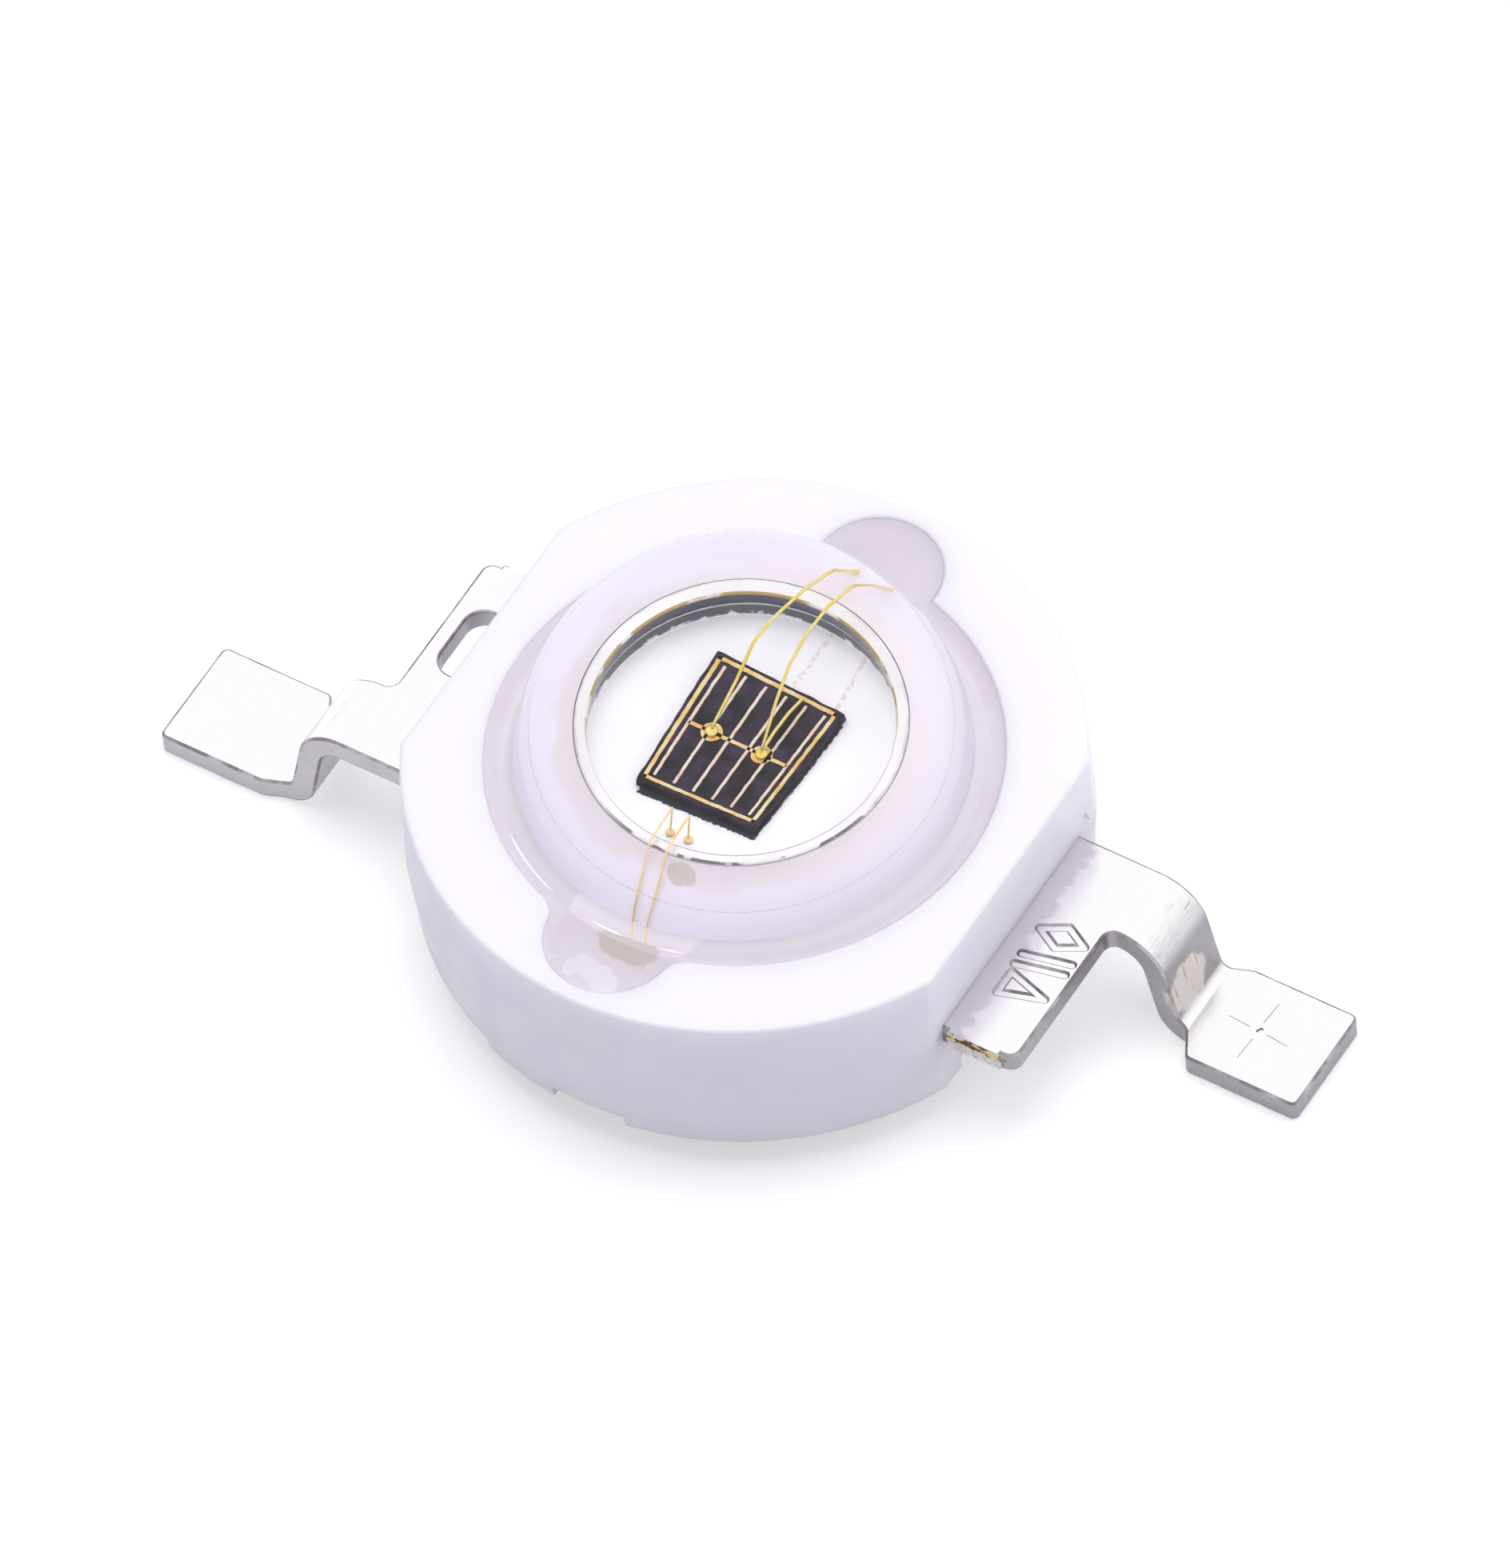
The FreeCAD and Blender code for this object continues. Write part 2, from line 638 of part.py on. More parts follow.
def slug_wires():
    """The two wires from the cup's floor over the rim to the left lead's pad."""
    shoulder = STEM_RADIUS + SLUG_SHOULDER_GAP
    elbow = shoulder + SLUG_ELBOW_RUN
    stations = [
        (SLUG_BALL_OUT + WIRE_DIAMETER / 2, CUP_FLOOR + SLUG_NECK_HEIGHT),
        (shoulder, RIM_HEIGHT + SLUG_SHOULDER_RISE),
        (elbow, RIM_HEIGHT - SLUG_ELBOW_DROP),
    ]
    wires = []
    for side in (-1, 1):
        x = SLUG_BALL_SHIFT + side * SLUG_BALL_SPAN / 2
        landing = (x + SLUG_WIRE_SLANT, -SLUG_LANDING)
        wires.append(bond_wire((x, -SLUG_BALL_OUT), landing, CUP_FLOOR, stations))
    return wires


# Lens and silicone

def dome_on_skirt(radius):
    """A half ball on a short cylinder that stands on the seat."""
    ball = Part.makeSphere(radius, Vector(0, 0, LENS_CENTRE), AXIS_Z, 0, 90)
    return ball.fuse(cylinder(2 * radius, SEAT_HEIGHT, LENS_CENTRE)).removeSplitter()


def dome_lens():
    """The clear dome: a hemispherical shell on a flat flange."""
    flange = cylinder(2 * FLANGE_RADIUS, SEAT_HEIGHT, SEAT_HEIGHT + FLANGE_HEIGHT)
    return dome_on_skirt(LENS_RADIUS).fuse(flange).cut(dome_on_skirt(LENS_BORE)).removeSplitter()


def silicone_fill(others):
    """The silicone under and around the lens, up to its level in the pockets."""
    fill = well_space().common(cylinder(2 * BODY_DIAMETER, 0, SILICONE_LEVEL))
    fill = fill.fuse(dome_on_skirt(LENS_BORE))
    for other in others:
        fill = fill.cut(other)
    return fill.removeSplitter()


def main():
    """Build every piece and write it to its own file."""
    slug = heat_slug()
    right = lead()
    left = half_turn(right).cut(ear_slot())
    body = housing([right, left], slug)
    solder = die_attach()
    chip = led_chip()
    frame = chip_frame()
    grid = chip_grid()
    chip_a, chip_b = chip_wires()
    slug_a, slug_b = slug_wires()
    grid = grid.cut(chip_a).cut(chip_b)
    lens = dome_lens()
    inner = [lens, slug, solder, chip, frame, grid, chip_a, chip_b, slug_a, slug_b]
    nodes = {
        "housing": body,
        "left_lead": left,
        "right_lead": right,
        "heat_slug": slug,
        "die_attach": solder,
        "led_chip": chip,
        "chip_frame": frame,
        "chip_grid": grid,
        "chip_wire_a": chip_a,
        "chip_wire_b": chip_b,
        "slug_wire_a": slug_a,
        "slug_wire_b": slug_b,
        "dome_lens": lens,
        "silicone_fill": silicone_fill(inner),
    }
    for name, shape in nodes.items():
        print(name, len(shape.Solids), round(shape.Volume, 5), shape.isValid())
        shape.exportStep(f"parts/{name}.step")


main()
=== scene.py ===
"""Dressed model of a domed power led: white body, gull-wing leads, mirror cup, chip and clear lens."""

import logging
import math
from dataclasses import dataclass, field
from enum import Enum
from typing import Callable, Sequence

import bmesh
import bpy
import numpy as np
from mathutils import Matrix, Vector, noise


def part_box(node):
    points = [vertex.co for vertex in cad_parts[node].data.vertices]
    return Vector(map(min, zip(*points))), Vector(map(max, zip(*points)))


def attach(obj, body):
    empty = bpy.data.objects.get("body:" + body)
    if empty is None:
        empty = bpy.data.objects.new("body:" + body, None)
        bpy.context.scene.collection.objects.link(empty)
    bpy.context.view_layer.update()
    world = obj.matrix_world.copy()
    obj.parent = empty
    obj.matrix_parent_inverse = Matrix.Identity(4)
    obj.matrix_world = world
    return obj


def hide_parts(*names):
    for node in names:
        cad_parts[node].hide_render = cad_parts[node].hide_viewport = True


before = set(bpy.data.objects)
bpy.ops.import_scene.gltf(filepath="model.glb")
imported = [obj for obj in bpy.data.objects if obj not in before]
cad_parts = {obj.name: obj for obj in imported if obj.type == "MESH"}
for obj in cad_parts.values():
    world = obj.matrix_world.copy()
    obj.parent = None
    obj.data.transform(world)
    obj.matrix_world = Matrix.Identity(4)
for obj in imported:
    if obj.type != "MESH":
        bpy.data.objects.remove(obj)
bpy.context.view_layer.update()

LOG = logging.getLogger("led")
MM = 0.001
BODY = "root"
SEGMENTS = 256
ARC_STEP = 7.5

Point = tuple[float, float]
Corner = tuple[float, float, float]
Place = tuple[float, float, float]
Colour = tuple[float, float, float]
Shape = bpy.types.Object
Material = bpy.types.Material
Tree = bpy.types.NodeTree
Node = bpy.types.Node
Socket = bpy.types.NodeSocket


def cad_span(node: str) -> tuple[Vector, Vector]:
    """The lowest and highest corners of a node of the frame, in millimetres."""
    low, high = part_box(node)
    return low / MM, high / MM


# Outlines in plan or section, in millimetres

def arc(centre: Point, radius: float, start: float, end: float, count: int = 0) -> list[Point]:
    """Points along an arc, with both of its ends.

    Args:
        centre: the arc's centre.
        radius: its radius.
        start: the angle of its first point, in degrees from +X.
        end: the angle of its last point.
        count: how many steps to divide it into, or 0 for steps of ARC_STEP.

    Returns:
        The points, in order.
    """
    steps = count or max(2, math.ceil(abs(end - start) / ARC_STEP))
    angles = np.radians(np.linspace(start, end, steps + 1))
    return [(centre[0] + radius * math.cos(a), centre[1] + radius * math.sin(a)) for a in angles]


def rounded_outline(corners: Sequence[Corner]) -> list[Point]:
    """A closed outline whose corners are rounded.

    Args:
        corners: (x, y, radius) of each corner, where a radius of 0 leaves it sharp.

    Returns:
        The outline's points.
    """
    points: list[Point] = []
    for index, (x, y, radius) in enumerate(corners):
        if radius <= 0:
            points.append((x, y))
            continue
        here = Vector((x, y))
        before = (Vector(corners[index - 1][:2]) - here).normalized()
        after = (Vector(corners[(index + 1) % len(corners)][:2]) - here).normalized()
        half = before.angle(after) / 2
        centre = here + (before + after).normalized() * (radius / math.sin(half))
        first = here + before * (radius / math.tan(half)) - centre
        turn = 180 - math.degrees(2 * half)
        if before.cross(after) > 0:
            turn = -turn
        start = math.degrees(math.atan2(first.y, first.x))
        points += arc(centre, radius, start, start + turn)
    return points


def ring_points(radius: float, height: float, turns: int = SEGMENTS) -> list[Vector]:
    """A level ring of points round the body's axis."""
    return [Vector((x, y, height)) for x, y in arc((0, 0), radius, 0, 360, turns)[:-1]]


def lifted(outline: Sequence[Point], height: float) -> list[Vector]:
    """An outline raised to a height."""
    return [Vector((x, y, height)) for x, y in outline]


# Shapes: objects still in millimetres, with their modifiers applied as they are made

def placed(name: str, data: bpy.types.ID) -> Shape:
    """A new object in the scene over a mesh, a lamp or a camera."""
    shape = bpy.data.objects.new(name, data)
    bpy.context.scene.collection.objects.link(shape)
    return shape


def shape_from(name: str, vertices: Sequence[Vector], faces: Sequence[Sequence[int]]) -> Shape:
    """An object over vertices and faces, with its doubles merged and its faces outward."""
    mesh = bpy.data.meshes.new(name)
    mesh.from_pydata([tuple(v) for v in vertices], [], faces)
    work = bmesh.new()
    work.from_mesh(mesh)
    bmesh.ops.remove_doubles(work, verts=work.verts, dist=1e-6)
    bmesh.ops.dissolve_degenerate(work, edges=work.edges, dist=1e-7)
    bmesh.ops.recalc_face_normals(work, faces=work.faces)
    work.to_mesh(mesh)
    work.free()
    return placed(name, mesh)


def sheet(rows: int, turns: int, ring: bool = False) -> list[list[int]]:
    """Faces between closed rows of points, each turns long; ring joins the last row to the first."""
    faces = []
    for low in range(rows if ring else rows - 1):
        high = (low + 1) % rows
        for here in range(turns):
            there = (here + 1) % turns
            faces.append([low * turns + here, low * turns + there, high * turns + there, high * turns + here])
    return faces


def loft(name: str, loops: Sequence[Sequence[Vector]], ring: bool = False) -> Shape:
    """A closed solid over a stack of closed loops with equal counts.

    Args:
        name: the object's name.
        loops: the loops, from one end to the other.
        ring: True to join the last loop to the first, False to close both ends with a face.

    Returns:
        The new object.
    """
    count = len(loops[0])
    vertices = [point for loop in loops for point in loop]
    faces = sheet(len(loops), count, ring)
    if not ring:
        faces.append(list(range(count))[::-1])
        faces.append([(len(loops) - 1) * count + here for here in range(count)])
    return shape_from(name, vertices, faces)


def lathe(name: str, profile: Sequence[Point], turns: int = SEGMENTS) -> Shape:
    """A solid of revolution from (radius, height) points that start and end on the axis."""
    vertices = [point for r, z in profile for point in ring_points(r, z, turns)]
    return shape_from(name, vertices, sheet(len(profile), turns))


def prism(name: str, outline: Sequence[Point], low: float, high: float) -> Shape:
    """A prism over a plan outline between two heights."""
    return loft(name, [lifted(outline, low), lifted(outline, high)])


def side_prism(name: str, outline: Sequence[Point], reach: float) -> Shape:
    """A prism over an outline in the XZ plane, as wide as reach each way along Y."""
    return loft(name, [[Vector((x, y, z)) for x, z in outline] for y in (-reach, reach)])


def bake(shape: Shape) -> None:
    """Applies a shape's modifiers to its mesh."""
    bpy.context.view_layer.update()
    graph = bpy.context.evaluated_depsgraph_get()
    mesh = bpy.data.meshes.new_from_object(shape.evaluated_get(graph))
    old = shape.data
    shape.modifiers.clear()
    shape.data = mesh
    bpy.data.meshes.remove(old)


def combine(shape: Shape, tool: Shape, how: str = "DIFFERENCE") -> None:
    """Cuts, joins or intersects a shape with a tool, which is removed afterwards.

    Args:
        shape: the shape that is changed.
        tool: the other shape.
        how: DIFFERENCE, UNION or INTERSECT.
    """
    change = shape.modifiers.new("combine", "BOOLEAN")
    change.solver = "EXACT"
    change.material_mode = "TRANSFER"
    change.operation = how
    change.object = tool
    bake(shape)
    mesh = tool.data
    bpy.data.objects.remove(tool)
    bpy.data.meshes.remove(mesh)


def soften(shape: Shape, width: float, material: int, steps: int = 3, angle: float = 40.0) -> None:
    """Rounds a shape's sharp edges, and gives the roundings the material with that index."""
    change = shape.modifiers.new("soften", "BEVEL")
    change.width = width
    change.segments = steps
    change.limit_method = "ANGLE"
    change.angle_limit = math.radians(angle)
    change.use_clamp_overlap = False
    change.material = material
    bake(shape)


def deliver(
    shape: Shape,
    nodes: Sequence[str],
    materials: Sequence[Material] = (),
    crease: float = 32.0,
    choose: Callable[[Vector, Vector], int] | None = None,
) -> Shape:
    """Turns a shape into a finished piece: in metres, shaded, and riding on the part.

    Args:
        shape: the shape in millimetres, whose name becomes the piece's name.
        nodes: the nodes of the frame that it stands for.
        materials: its materials, or none to keep those that it has.
        crease: the angle between faces, in degrees, past which an edge stays sharp.
        choose: gives the index of a face's material from the face's centre and normal.

    Returns:
        The piece.
    """
    mesh = shape.data
    if materials:
        mesh.materials.clear()
        for material in materials:
            mesh.materials.append(material)
    if choose:
        for face in mesh.polygons:
            face.material_index = choose(face.center, face.normal)
    mesh.shade_smooth()
    mesh.set_sharp_from_angle(angle=math.radians(crease))
    weighting = shape.modifiers.new("weighting", "WEIGHTED_NORMAL")
    weighting.keep_sharp = True
    bake(shape)
    shape.data.transform(Matrix.Scale(MM, 4))
    shape.data.name = shape.name
    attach(shape, BODY)
    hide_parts(*nodes)
    LOG.info("%s: %d faces, stands for %s", shape.name, len(shape.data.polygons), ", ".join(nodes))
    return shape


# Node graphs

class Graph:
    """A node tree with short ways to add and join nodes."""

    def __init__(self, tree: Tree) -> None:
        """Wraps a tree."""
        self.tree = tree

    def feed(self, socket: Socket, value: object) -> None:
        """Joins a socket to another, or sets its value; a colour is opaque."""
        if isinstance(value, Socket):
            self.tree.links.new(value, socket)
        elif socket.type == "RGBA":
            socket.default_value = (*value, 1.0)
        else:
            socket.default_value = value

    def add(self, kind: str, inputs: dict | None = None, **settings: object) -> Node:
        """Adds a node.

        Args:
            kind: the node's type.
            inputs: values or sockets for its inputs, by name or index.
            settings: its properties.

        Returns:
            The new node.
        """
        node = self.tree.nodes.new(kind)
        for key, value in settings.items():
            setattr(node, key, value)
        for key, value in (inputs or {}).items():
            self.feed(node.inputs[key], value)
        return node

    def math(self, how: str, *values: object) -> Socket:
        """The result of a Math node."""
        return self.add("ShaderNodeMath", dict(enumerate(values)), operation=how).outputs[0]

    def plus(self, first: object, second: object) -> Socket:
        """The sum of two values."""
        return self.math("ADD", first, second)

    def minus(self, first: object, second: object) -> Socket:
        """The first value less the second."""
        return self.math("SUBTRACT", first, second)

    def times(self, first: object, second: object) -> Socket:
        """The product of two values."""
        return self.math("MULTIPLY", first, second)

    def most(self, first: object, second: object) -> Socket:
        """The larger of two values."""
        return self.math("MAXIMUM", first, second)

    def gap(self, first: object, second: object) -> Socket:
        """How far two values lie apart."""
        return self.math("ABSOLUTE", self.minus(first, second))

    def vectors(self, how: str, first: object, second: object) -> Socket:
        """The result of a Vector Math node over two vectors."""
        return self.add("ShaderNodeVectorMath", {0: first, 1: second}, operation=how).outputs[0]

    def split(self, place: Socket) -> tuple[Socket, ...]:
        """A place's x, y and z."""
        return tuple(self.add("ShaderNodeSeparateXYZ", {0: place}).outputs)

    def polar(self, place: Socket) -> tuple[Socket, ...]:
        """A place's x, y and distance from the part's axis."""
        x, y, _ = self.split(place)
        return x, y, self.math("SQRT", self.plus(self.times(x, x), self.times(y, y)))

    def blend(self, share: object, first: object, second: object) -> Socket:
        """A mix of two colours."""
        node = self.add("ShaderNodeMix", data_type="RGBA")
        self.feed(node.inputs["Factor"], share)
        self.feed(node.inputs[6], first)
        self.feed(node.inputs[7], second)
        return node.outputs[2]

    def mix(self, share: object, first: Socket, second: Socket) -> Socket:
        """A mix of two shaders."""
        return self.add("ShaderNodeMixShader", {0: share, 1: first, 2: second}).outputs[0]

    def between(self, value: object, low: float, high: float, start: float = 0.0, end: float = 1.0) -> Socket:
        """A value mapped smoothly from one range to another."""
        node = self.add("ShaderNodeMapRange", {"Value": value, "From Min": low, "From Max": high,
                                               "To Min": start, "To Max": end})
        node.interpolation_type = "SMOOTHSTEP"
        return node.outputs[0]

    def noise(self, place: Socket, scale: object, detail: float) -> Socket:
        """The value of a Noise Texture."""
        return self.add("ShaderNodeTexNoise", {"Vector": place, "Scale": scale, "Detail": detail}).outputs[0]

    def effect(self, group: Tree, place: Socket, **inputs: object) -> Node:
        """Places a shared group, with its other inputs by name."""
        return self.add("ShaderNodeGroup", {"Vector": place, **inputs}, node_tree=group)

    def bump(self, height: object, depth: float) -> Socket:
        """A normal from a height, whose full range is as deep as depth millimetres."""
        node = self.add("ShaderNodeBump", {"Height": height, "Distance": depth * MM, "Strength": 1.0})
        return node.outputs[0]


def bare_graph(owner: bpy.types.ID) -> Graph:
    """The emptied node tree of a material or a world."""
    owner.use_nodes = True
    owner.node_tree.nodes.clear()
    return Graph(owner.node_tree)


def seen_rays(graph: Graph) -> Socket:
    """1 for rays that show or mirror what they meet, and 0 for rays that light it."""
    rays = graph.add("ShaderNodeLightPath").outputs
    return graph.most(graph.most(rays["Is Camera Ray"], rays["Is Glossy Ray"]), rays["Is Transmission Ray"])


def new_group(
    name: str, kind: str, inputs: dict[str, str], outputs: dict[str, str],
) -> tuple[Graph, dict, dict]:
    """A node group with named sockets.

    Args:
        name: its name.
        kind: ShaderNodeTree or GeometryNodeTree.
        inputs: socket kinds by name, such as {"Scale": "Float"}.
        outputs: the same for its outputs.

    Returns:
        The graph, the sockets that bring values in and the sockets that take them out, by name.
    """
    tree = bpy.data.node_groups.new(name, kind)
    for way, sockets in (("INPUT", inputs), ("OUTPUT", outputs)):
        for label, socket in sockets.items():
            tree.interface.new_socket(label, in_out=way, socket_type="NodeSocket" + socket)
    graph = Graph(tree)
    entry = graph.add("NodeGroupInput")
    leave = graph.add("NodeGroupOutput")
    return graph, {s.name: s for s in entry.outputs if s.name}, {s.name: s for s in leave.inputs if s.name}


def grain_group() -> Tree:
    """Fine grain for moulded and plated surfaces: broad mottling, small specks and a height."""
    graph, given, out = new_group(
        "surface_grain", "ShaderNodeTree",
        {"Vector": "Vector", "Scale": "Float"},
        {"Mottle": "Float", "Specks": "Float", "Height": "Float"},
    )
    place, scale = given["Vector"], given["Scale"]
    broad = graph.noise(place, graph.times(scale, 0.06), 3.0)
    spots = graph.add("ShaderNodeTexVoronoi", {"Vector": place, "Scale": graph.times(scale, 0.25)})
    graph.feed(out["Mottle"], graph.between(broad, 0.35, 0.65))
    graph.feed(out["Specks"], graph.between(spots.outputs["Distance"], 0.03, 0.09, 1.0, 0.0))
    graph.feed(out["Height"], graph.noise(place, scale, 4.0))
    return graph.tree


def lines_group() -> Tree:
    """Fine drawn lines, stretched as the Stretch input says: a mask and a height."""
    graph, given, out = new_group(
        "drawn_lines", "ShaderNodeTree",
        {"Vector": "Vector", "Stretch": "Vector", "Scale": "Float"},
        {"Lines": "Float", "Height": "Float"},
    )
    streaks = graph.noise(graph.vectors("MULTIPLY", given["Vector"], given["Stretch"]), given["Scale"], 5.0)
    where = graph.between(graph.noise(given["Vector"], 1.7, 2.0), 0.42, 0.62, 0.25, 1.0)
    graph.feed(out["Lines"], graph.times(graph.between(streaks, 0.52, 0.68), where))
    graph.feed(out["Height"], streaks)
    return graph.tree


def spot_group() -> Tree:
    """A ragged patch round a centre: 1 inside it and 0 outside."""
    graph, given, out = new_group(
        "ragged_spot", "ShaderNodeTree",
        {"Vector": "Vector", "Centre": "Vector", "Size": "Vector", "Ragged": "Float", "Scale": "Float"},
        {"Mask": "Float"},
    )
    place = given["Vector"]
    share = graph.vectors("DIVIDE", graph.vectors("SUBTRACT", place, given["Centre"]), given["Size"])
    length = graph.add("ShaderNodeVectorMath", {0: share}, operation="LENGTH").outputs["Value"]
    shift = graph.times(graph.minus(graph.noise(place, given["Scale"], 5.0), 0.5), given["Ragged"])
    graph.feed(out["Mask"], graph.between(graph.plus(length, shift), 0.85, 1.1, 1.0, 0.0))
    return graph.tree


class Effects:
    """The shader groups that several finishes share, built once."""

    def __init__(self) -> None:
        """Builds the groups."""
        self.grain = grain_group()
        self.lines = lines_group()
        self.spot = spot_group()


@dataclass(frozen=True)
class Finish:
    """A surface finish that builds its own material."""

    name: str
    effects: Effects

    def material(self) -> Material:
        """Builds the material."""
        material = bpy.data.materials.new(self.name)
        graph = bare_graph(material)
        place = graph.add("ShaderNodeTexCoord").outputs["Object"]
        place = graph.add("ShaderNodeMapping", {"Vector": place, "Scale": (1 / MM,) * 3}).outputs[0]
        shader = graph.add("ShaderNodeBsdfPrincipled", self.surface(graph, place)).outputs[0]
        graph.add("ShaderNodeOutputMaterial", {"Surface": self.cover(graph, shader)})
        return material

    def surface(self, graph: Graph, place: Socket) -> dict:
        """The shader's inputs at a place, which is given in millimetres."""
        return {}

    def cover(self, graph: Graph, shader: Socket) -> Socket:
        """The shader as it reaches the material's output."""
        return shader


@dataclass(frozen=True)
class WhiteMoulding(Finish):
    """White moulding resin with a faint lilac cast, grain and a few specks."""

    base: Colour = (0.865, 0.835, 0.93)
    shade: Colour = (0.855, 0.82, 0.92)
    speck: Colour = (0.74, 0.71, 0.79)
    speck_share: float = 0.5
    grain_scale: float = 30.0
    grain_depth: float = 0.0012
    depth_share: float = 0.5
    light_depth: float = 0.5

    def surface(self, graph: Graph, place: Socket) -> dict:
        """The resin's mottled colour and its grain."""
        grain = graph.effect(self.effects.grain, place, Scale=self.grain_scale).outputs
        colour = graph.blend(grain["Mottle"], self.base, self.shade)
        return {
            "Base Color": graph.blend(graph.times(grain["Specks"], self.speck_share), colour, self.speck),
            "Roughness": graph.between(grain["Mottle"], 0.0, 1.0, 0.38, 0.5), "Specular IOR Level": 0.4,
            "Subsurface Weight": self.depth_share, "Subsurface Radius": (1.0, 0.95, 1.0),
            "Subsurface Scale": self.light_depth * MM,
            "Normal": graph.bump(grain["Height"], self.grain_depth),
        }


@dataclass(frozen=True)
class PlatedLead(Finish):
    """Silver-plated sheet: drawn lines, rub marks at the bends, a rusty scuff on the leg, painted shade on
    its steep faces and a painted reflection of the body's wall where it leaves the body.
    """

    base: Colour = (0.99, 0.98, 0.99)
    warm: Colour = (0.99, 0.96, 0.985)
    line: Colour = (0.45, 0.44, 0.46)
    edge: Colour = (0.40, 0.385, 0.41)
    # Painted shade for the steep faces.
    dull: Colour = (0.255, 0.243, 0.268)
    wall_reflection: Colour = (0.72, 0.695, 0.72)
    pale: Colour = (0.86, 0.79, 0.77)
    scuff: Colour = (0.52, 0.30, 0.17)
    side: float = 1.0
    line_scale: float = 14.0
    relief: float = 0.0006

    def surface(self, graph: Graph, place: Socket) -> dict:
        """The plating's colour, wear, painted shade, painted reflection and relief."""
        shared = self.effects
        grain = graph.effect(shared.grain, place, Scale=26.0).outputs
        lines = graph.effect(shared.lines, place, Stretch=(1.0, 0.06, 0.25), Scale=self.line_scale).outputs
        rubs = graph.effect(shared.lines, place, Stretch=(16.0, 1.6, 16.0), Scale=3.0).outputs["Lines"]
        fray = graph.effect(shared.lines, place, Stretch=(0.5, 1.0, 1.0), Scale=7.0).outputs["Height"]
        marks = graph.effect(shared.lines, place, Stretch=(2.0, 12.0, 1.0), Scale=2.2).outputs["Height"]
        bend = graph.effect(
            shared.spot, place, Centre=(self.side * 5.06, self.side * 0.95, 1.45),
            Size=(0.16, 0.50, 0.4), Ragged=1.2, Scale=5.0,
        ).outputs[0]
        leg = graph.effect(
            shared.spot, place, Centre=(self.side * 5.40, self.side * 0.84, 0.68),
            Size=(0.3, 0.38, 0.34), Ragged=0.8, Scale=6.0,
        ).outputs[0]
        level = graph.split(graph.add("ShaderNodeTexCoord").outputs["Normal"])[2]
        steep = graph.between(graph.math("ABSOLUTE", level), 0.15, 0.92, 1.0, 0.0)
        x, _, z = graph.split(place)
        colour = graph.blend(graph.times(grain["Mottle"], 0.6), self.base, self.warm)
        colour = graph.blend(graph.times(lines["Lines"], 0.04), colour, self.line)
        # Steep faces are painted dark: painted shade.
        colour = graph.blend(graph.times(steep, 0.9), colour, self.dull)
        colour = graph.blend(graph.times(steep, graph.between(fray, 0.5, 0.62, 0.0, 0.4)), colour, self.edge)
        # A painted reflection of the body's wall on the sheet where it leaves the body.
        out = graph.minus(graph.math("ABSOLUTE", x), graph.between(fray, 0.3, 0.7, -0.06, 0.06))
        wall_reflection = graph.times(graph.between(out, 3.78, 3.90, 1.0, 0.0), graph.between(z, 1.45, 1.5, 0.0, 0.75))
        colour = graph.blend(wall_reflection, colour, self.wall_reflection)
        rubbed = graph.times(graph.times(rubs, bend), 0.8)
        colour = graph.blend(rubbed, colour, self.line)
        colour = graph.blend(graph.times(leg, 0.6), colour, self.pale)
        colour = graph.blend(graph.times(leg, graph.between(marks, 0.60, 0.65, 0.0, 0.8)), colour, self.scuff)
        height = graph.plus(grain["Height"], graph.times(lines["Height"], 0.5))
        height = graph.minus(height, graph.times(rubbed, 2.0))
        rough = graph.plus(graph.between(grain["Mottle"], 0.0, 1.0, 0.14, 0.20), graph.times(steep, 0.16))
        relief = graph.bump(height, self.relief)
        return {"Base Color": colour, "Metallic": 1.0, "Roughness": rough, "Normal": relief}


@dataclass(frozen=True)
class ShearedMetal(Finish):
    """The torn face of a cut tie bar, where the copper core shows brown between bright lips."""

    silver: Colour = (0.62, 0.61, 0.60)
    brown: Colour = (0.16, 0.11, 0.06)
    brass: Colour = (0.74, 0.62, 0.34)
    band: Point = (1.44, 1.575)
    lip: float = 0.008

    def surface(self, graph: Graph, place: Socket) -> dict:
        """The core's band between the lips, and the tears."""
        grain = graph.effect(self.effects.grain, place, Scale=60.0).outputs
        tears = graph.effect(self.effects.lines, place, Stretch=(0.6, 1.0, 1.3), Scale=8.0).outputs["Height"]
        level = graph.plus(graph.split(place)[2], graph.between(tears, 0.3, 0.7, -0.03, 0.03))
        low, high = self.band
        inside = graph.times(graph.between(level, low - self.lip, low + self.lip),
                             graph.between(level, high - self.lip, high + self.lip, 1.0, 0.0))
        core = graph.blend(graph.between(tears, 0.47, 0.53), self.brown, self.brass)
        return {
            "Base Color": graph.blend(inside, self.silver, core), "Metallic": 1.0,
            "Roughness": graph.between(grain["Mottle"], 0.0, 1.0, 0.4, 0.6),
            "Normal": graph.bump(graph.plus(grain["Height"], tears), 0.012),
        }


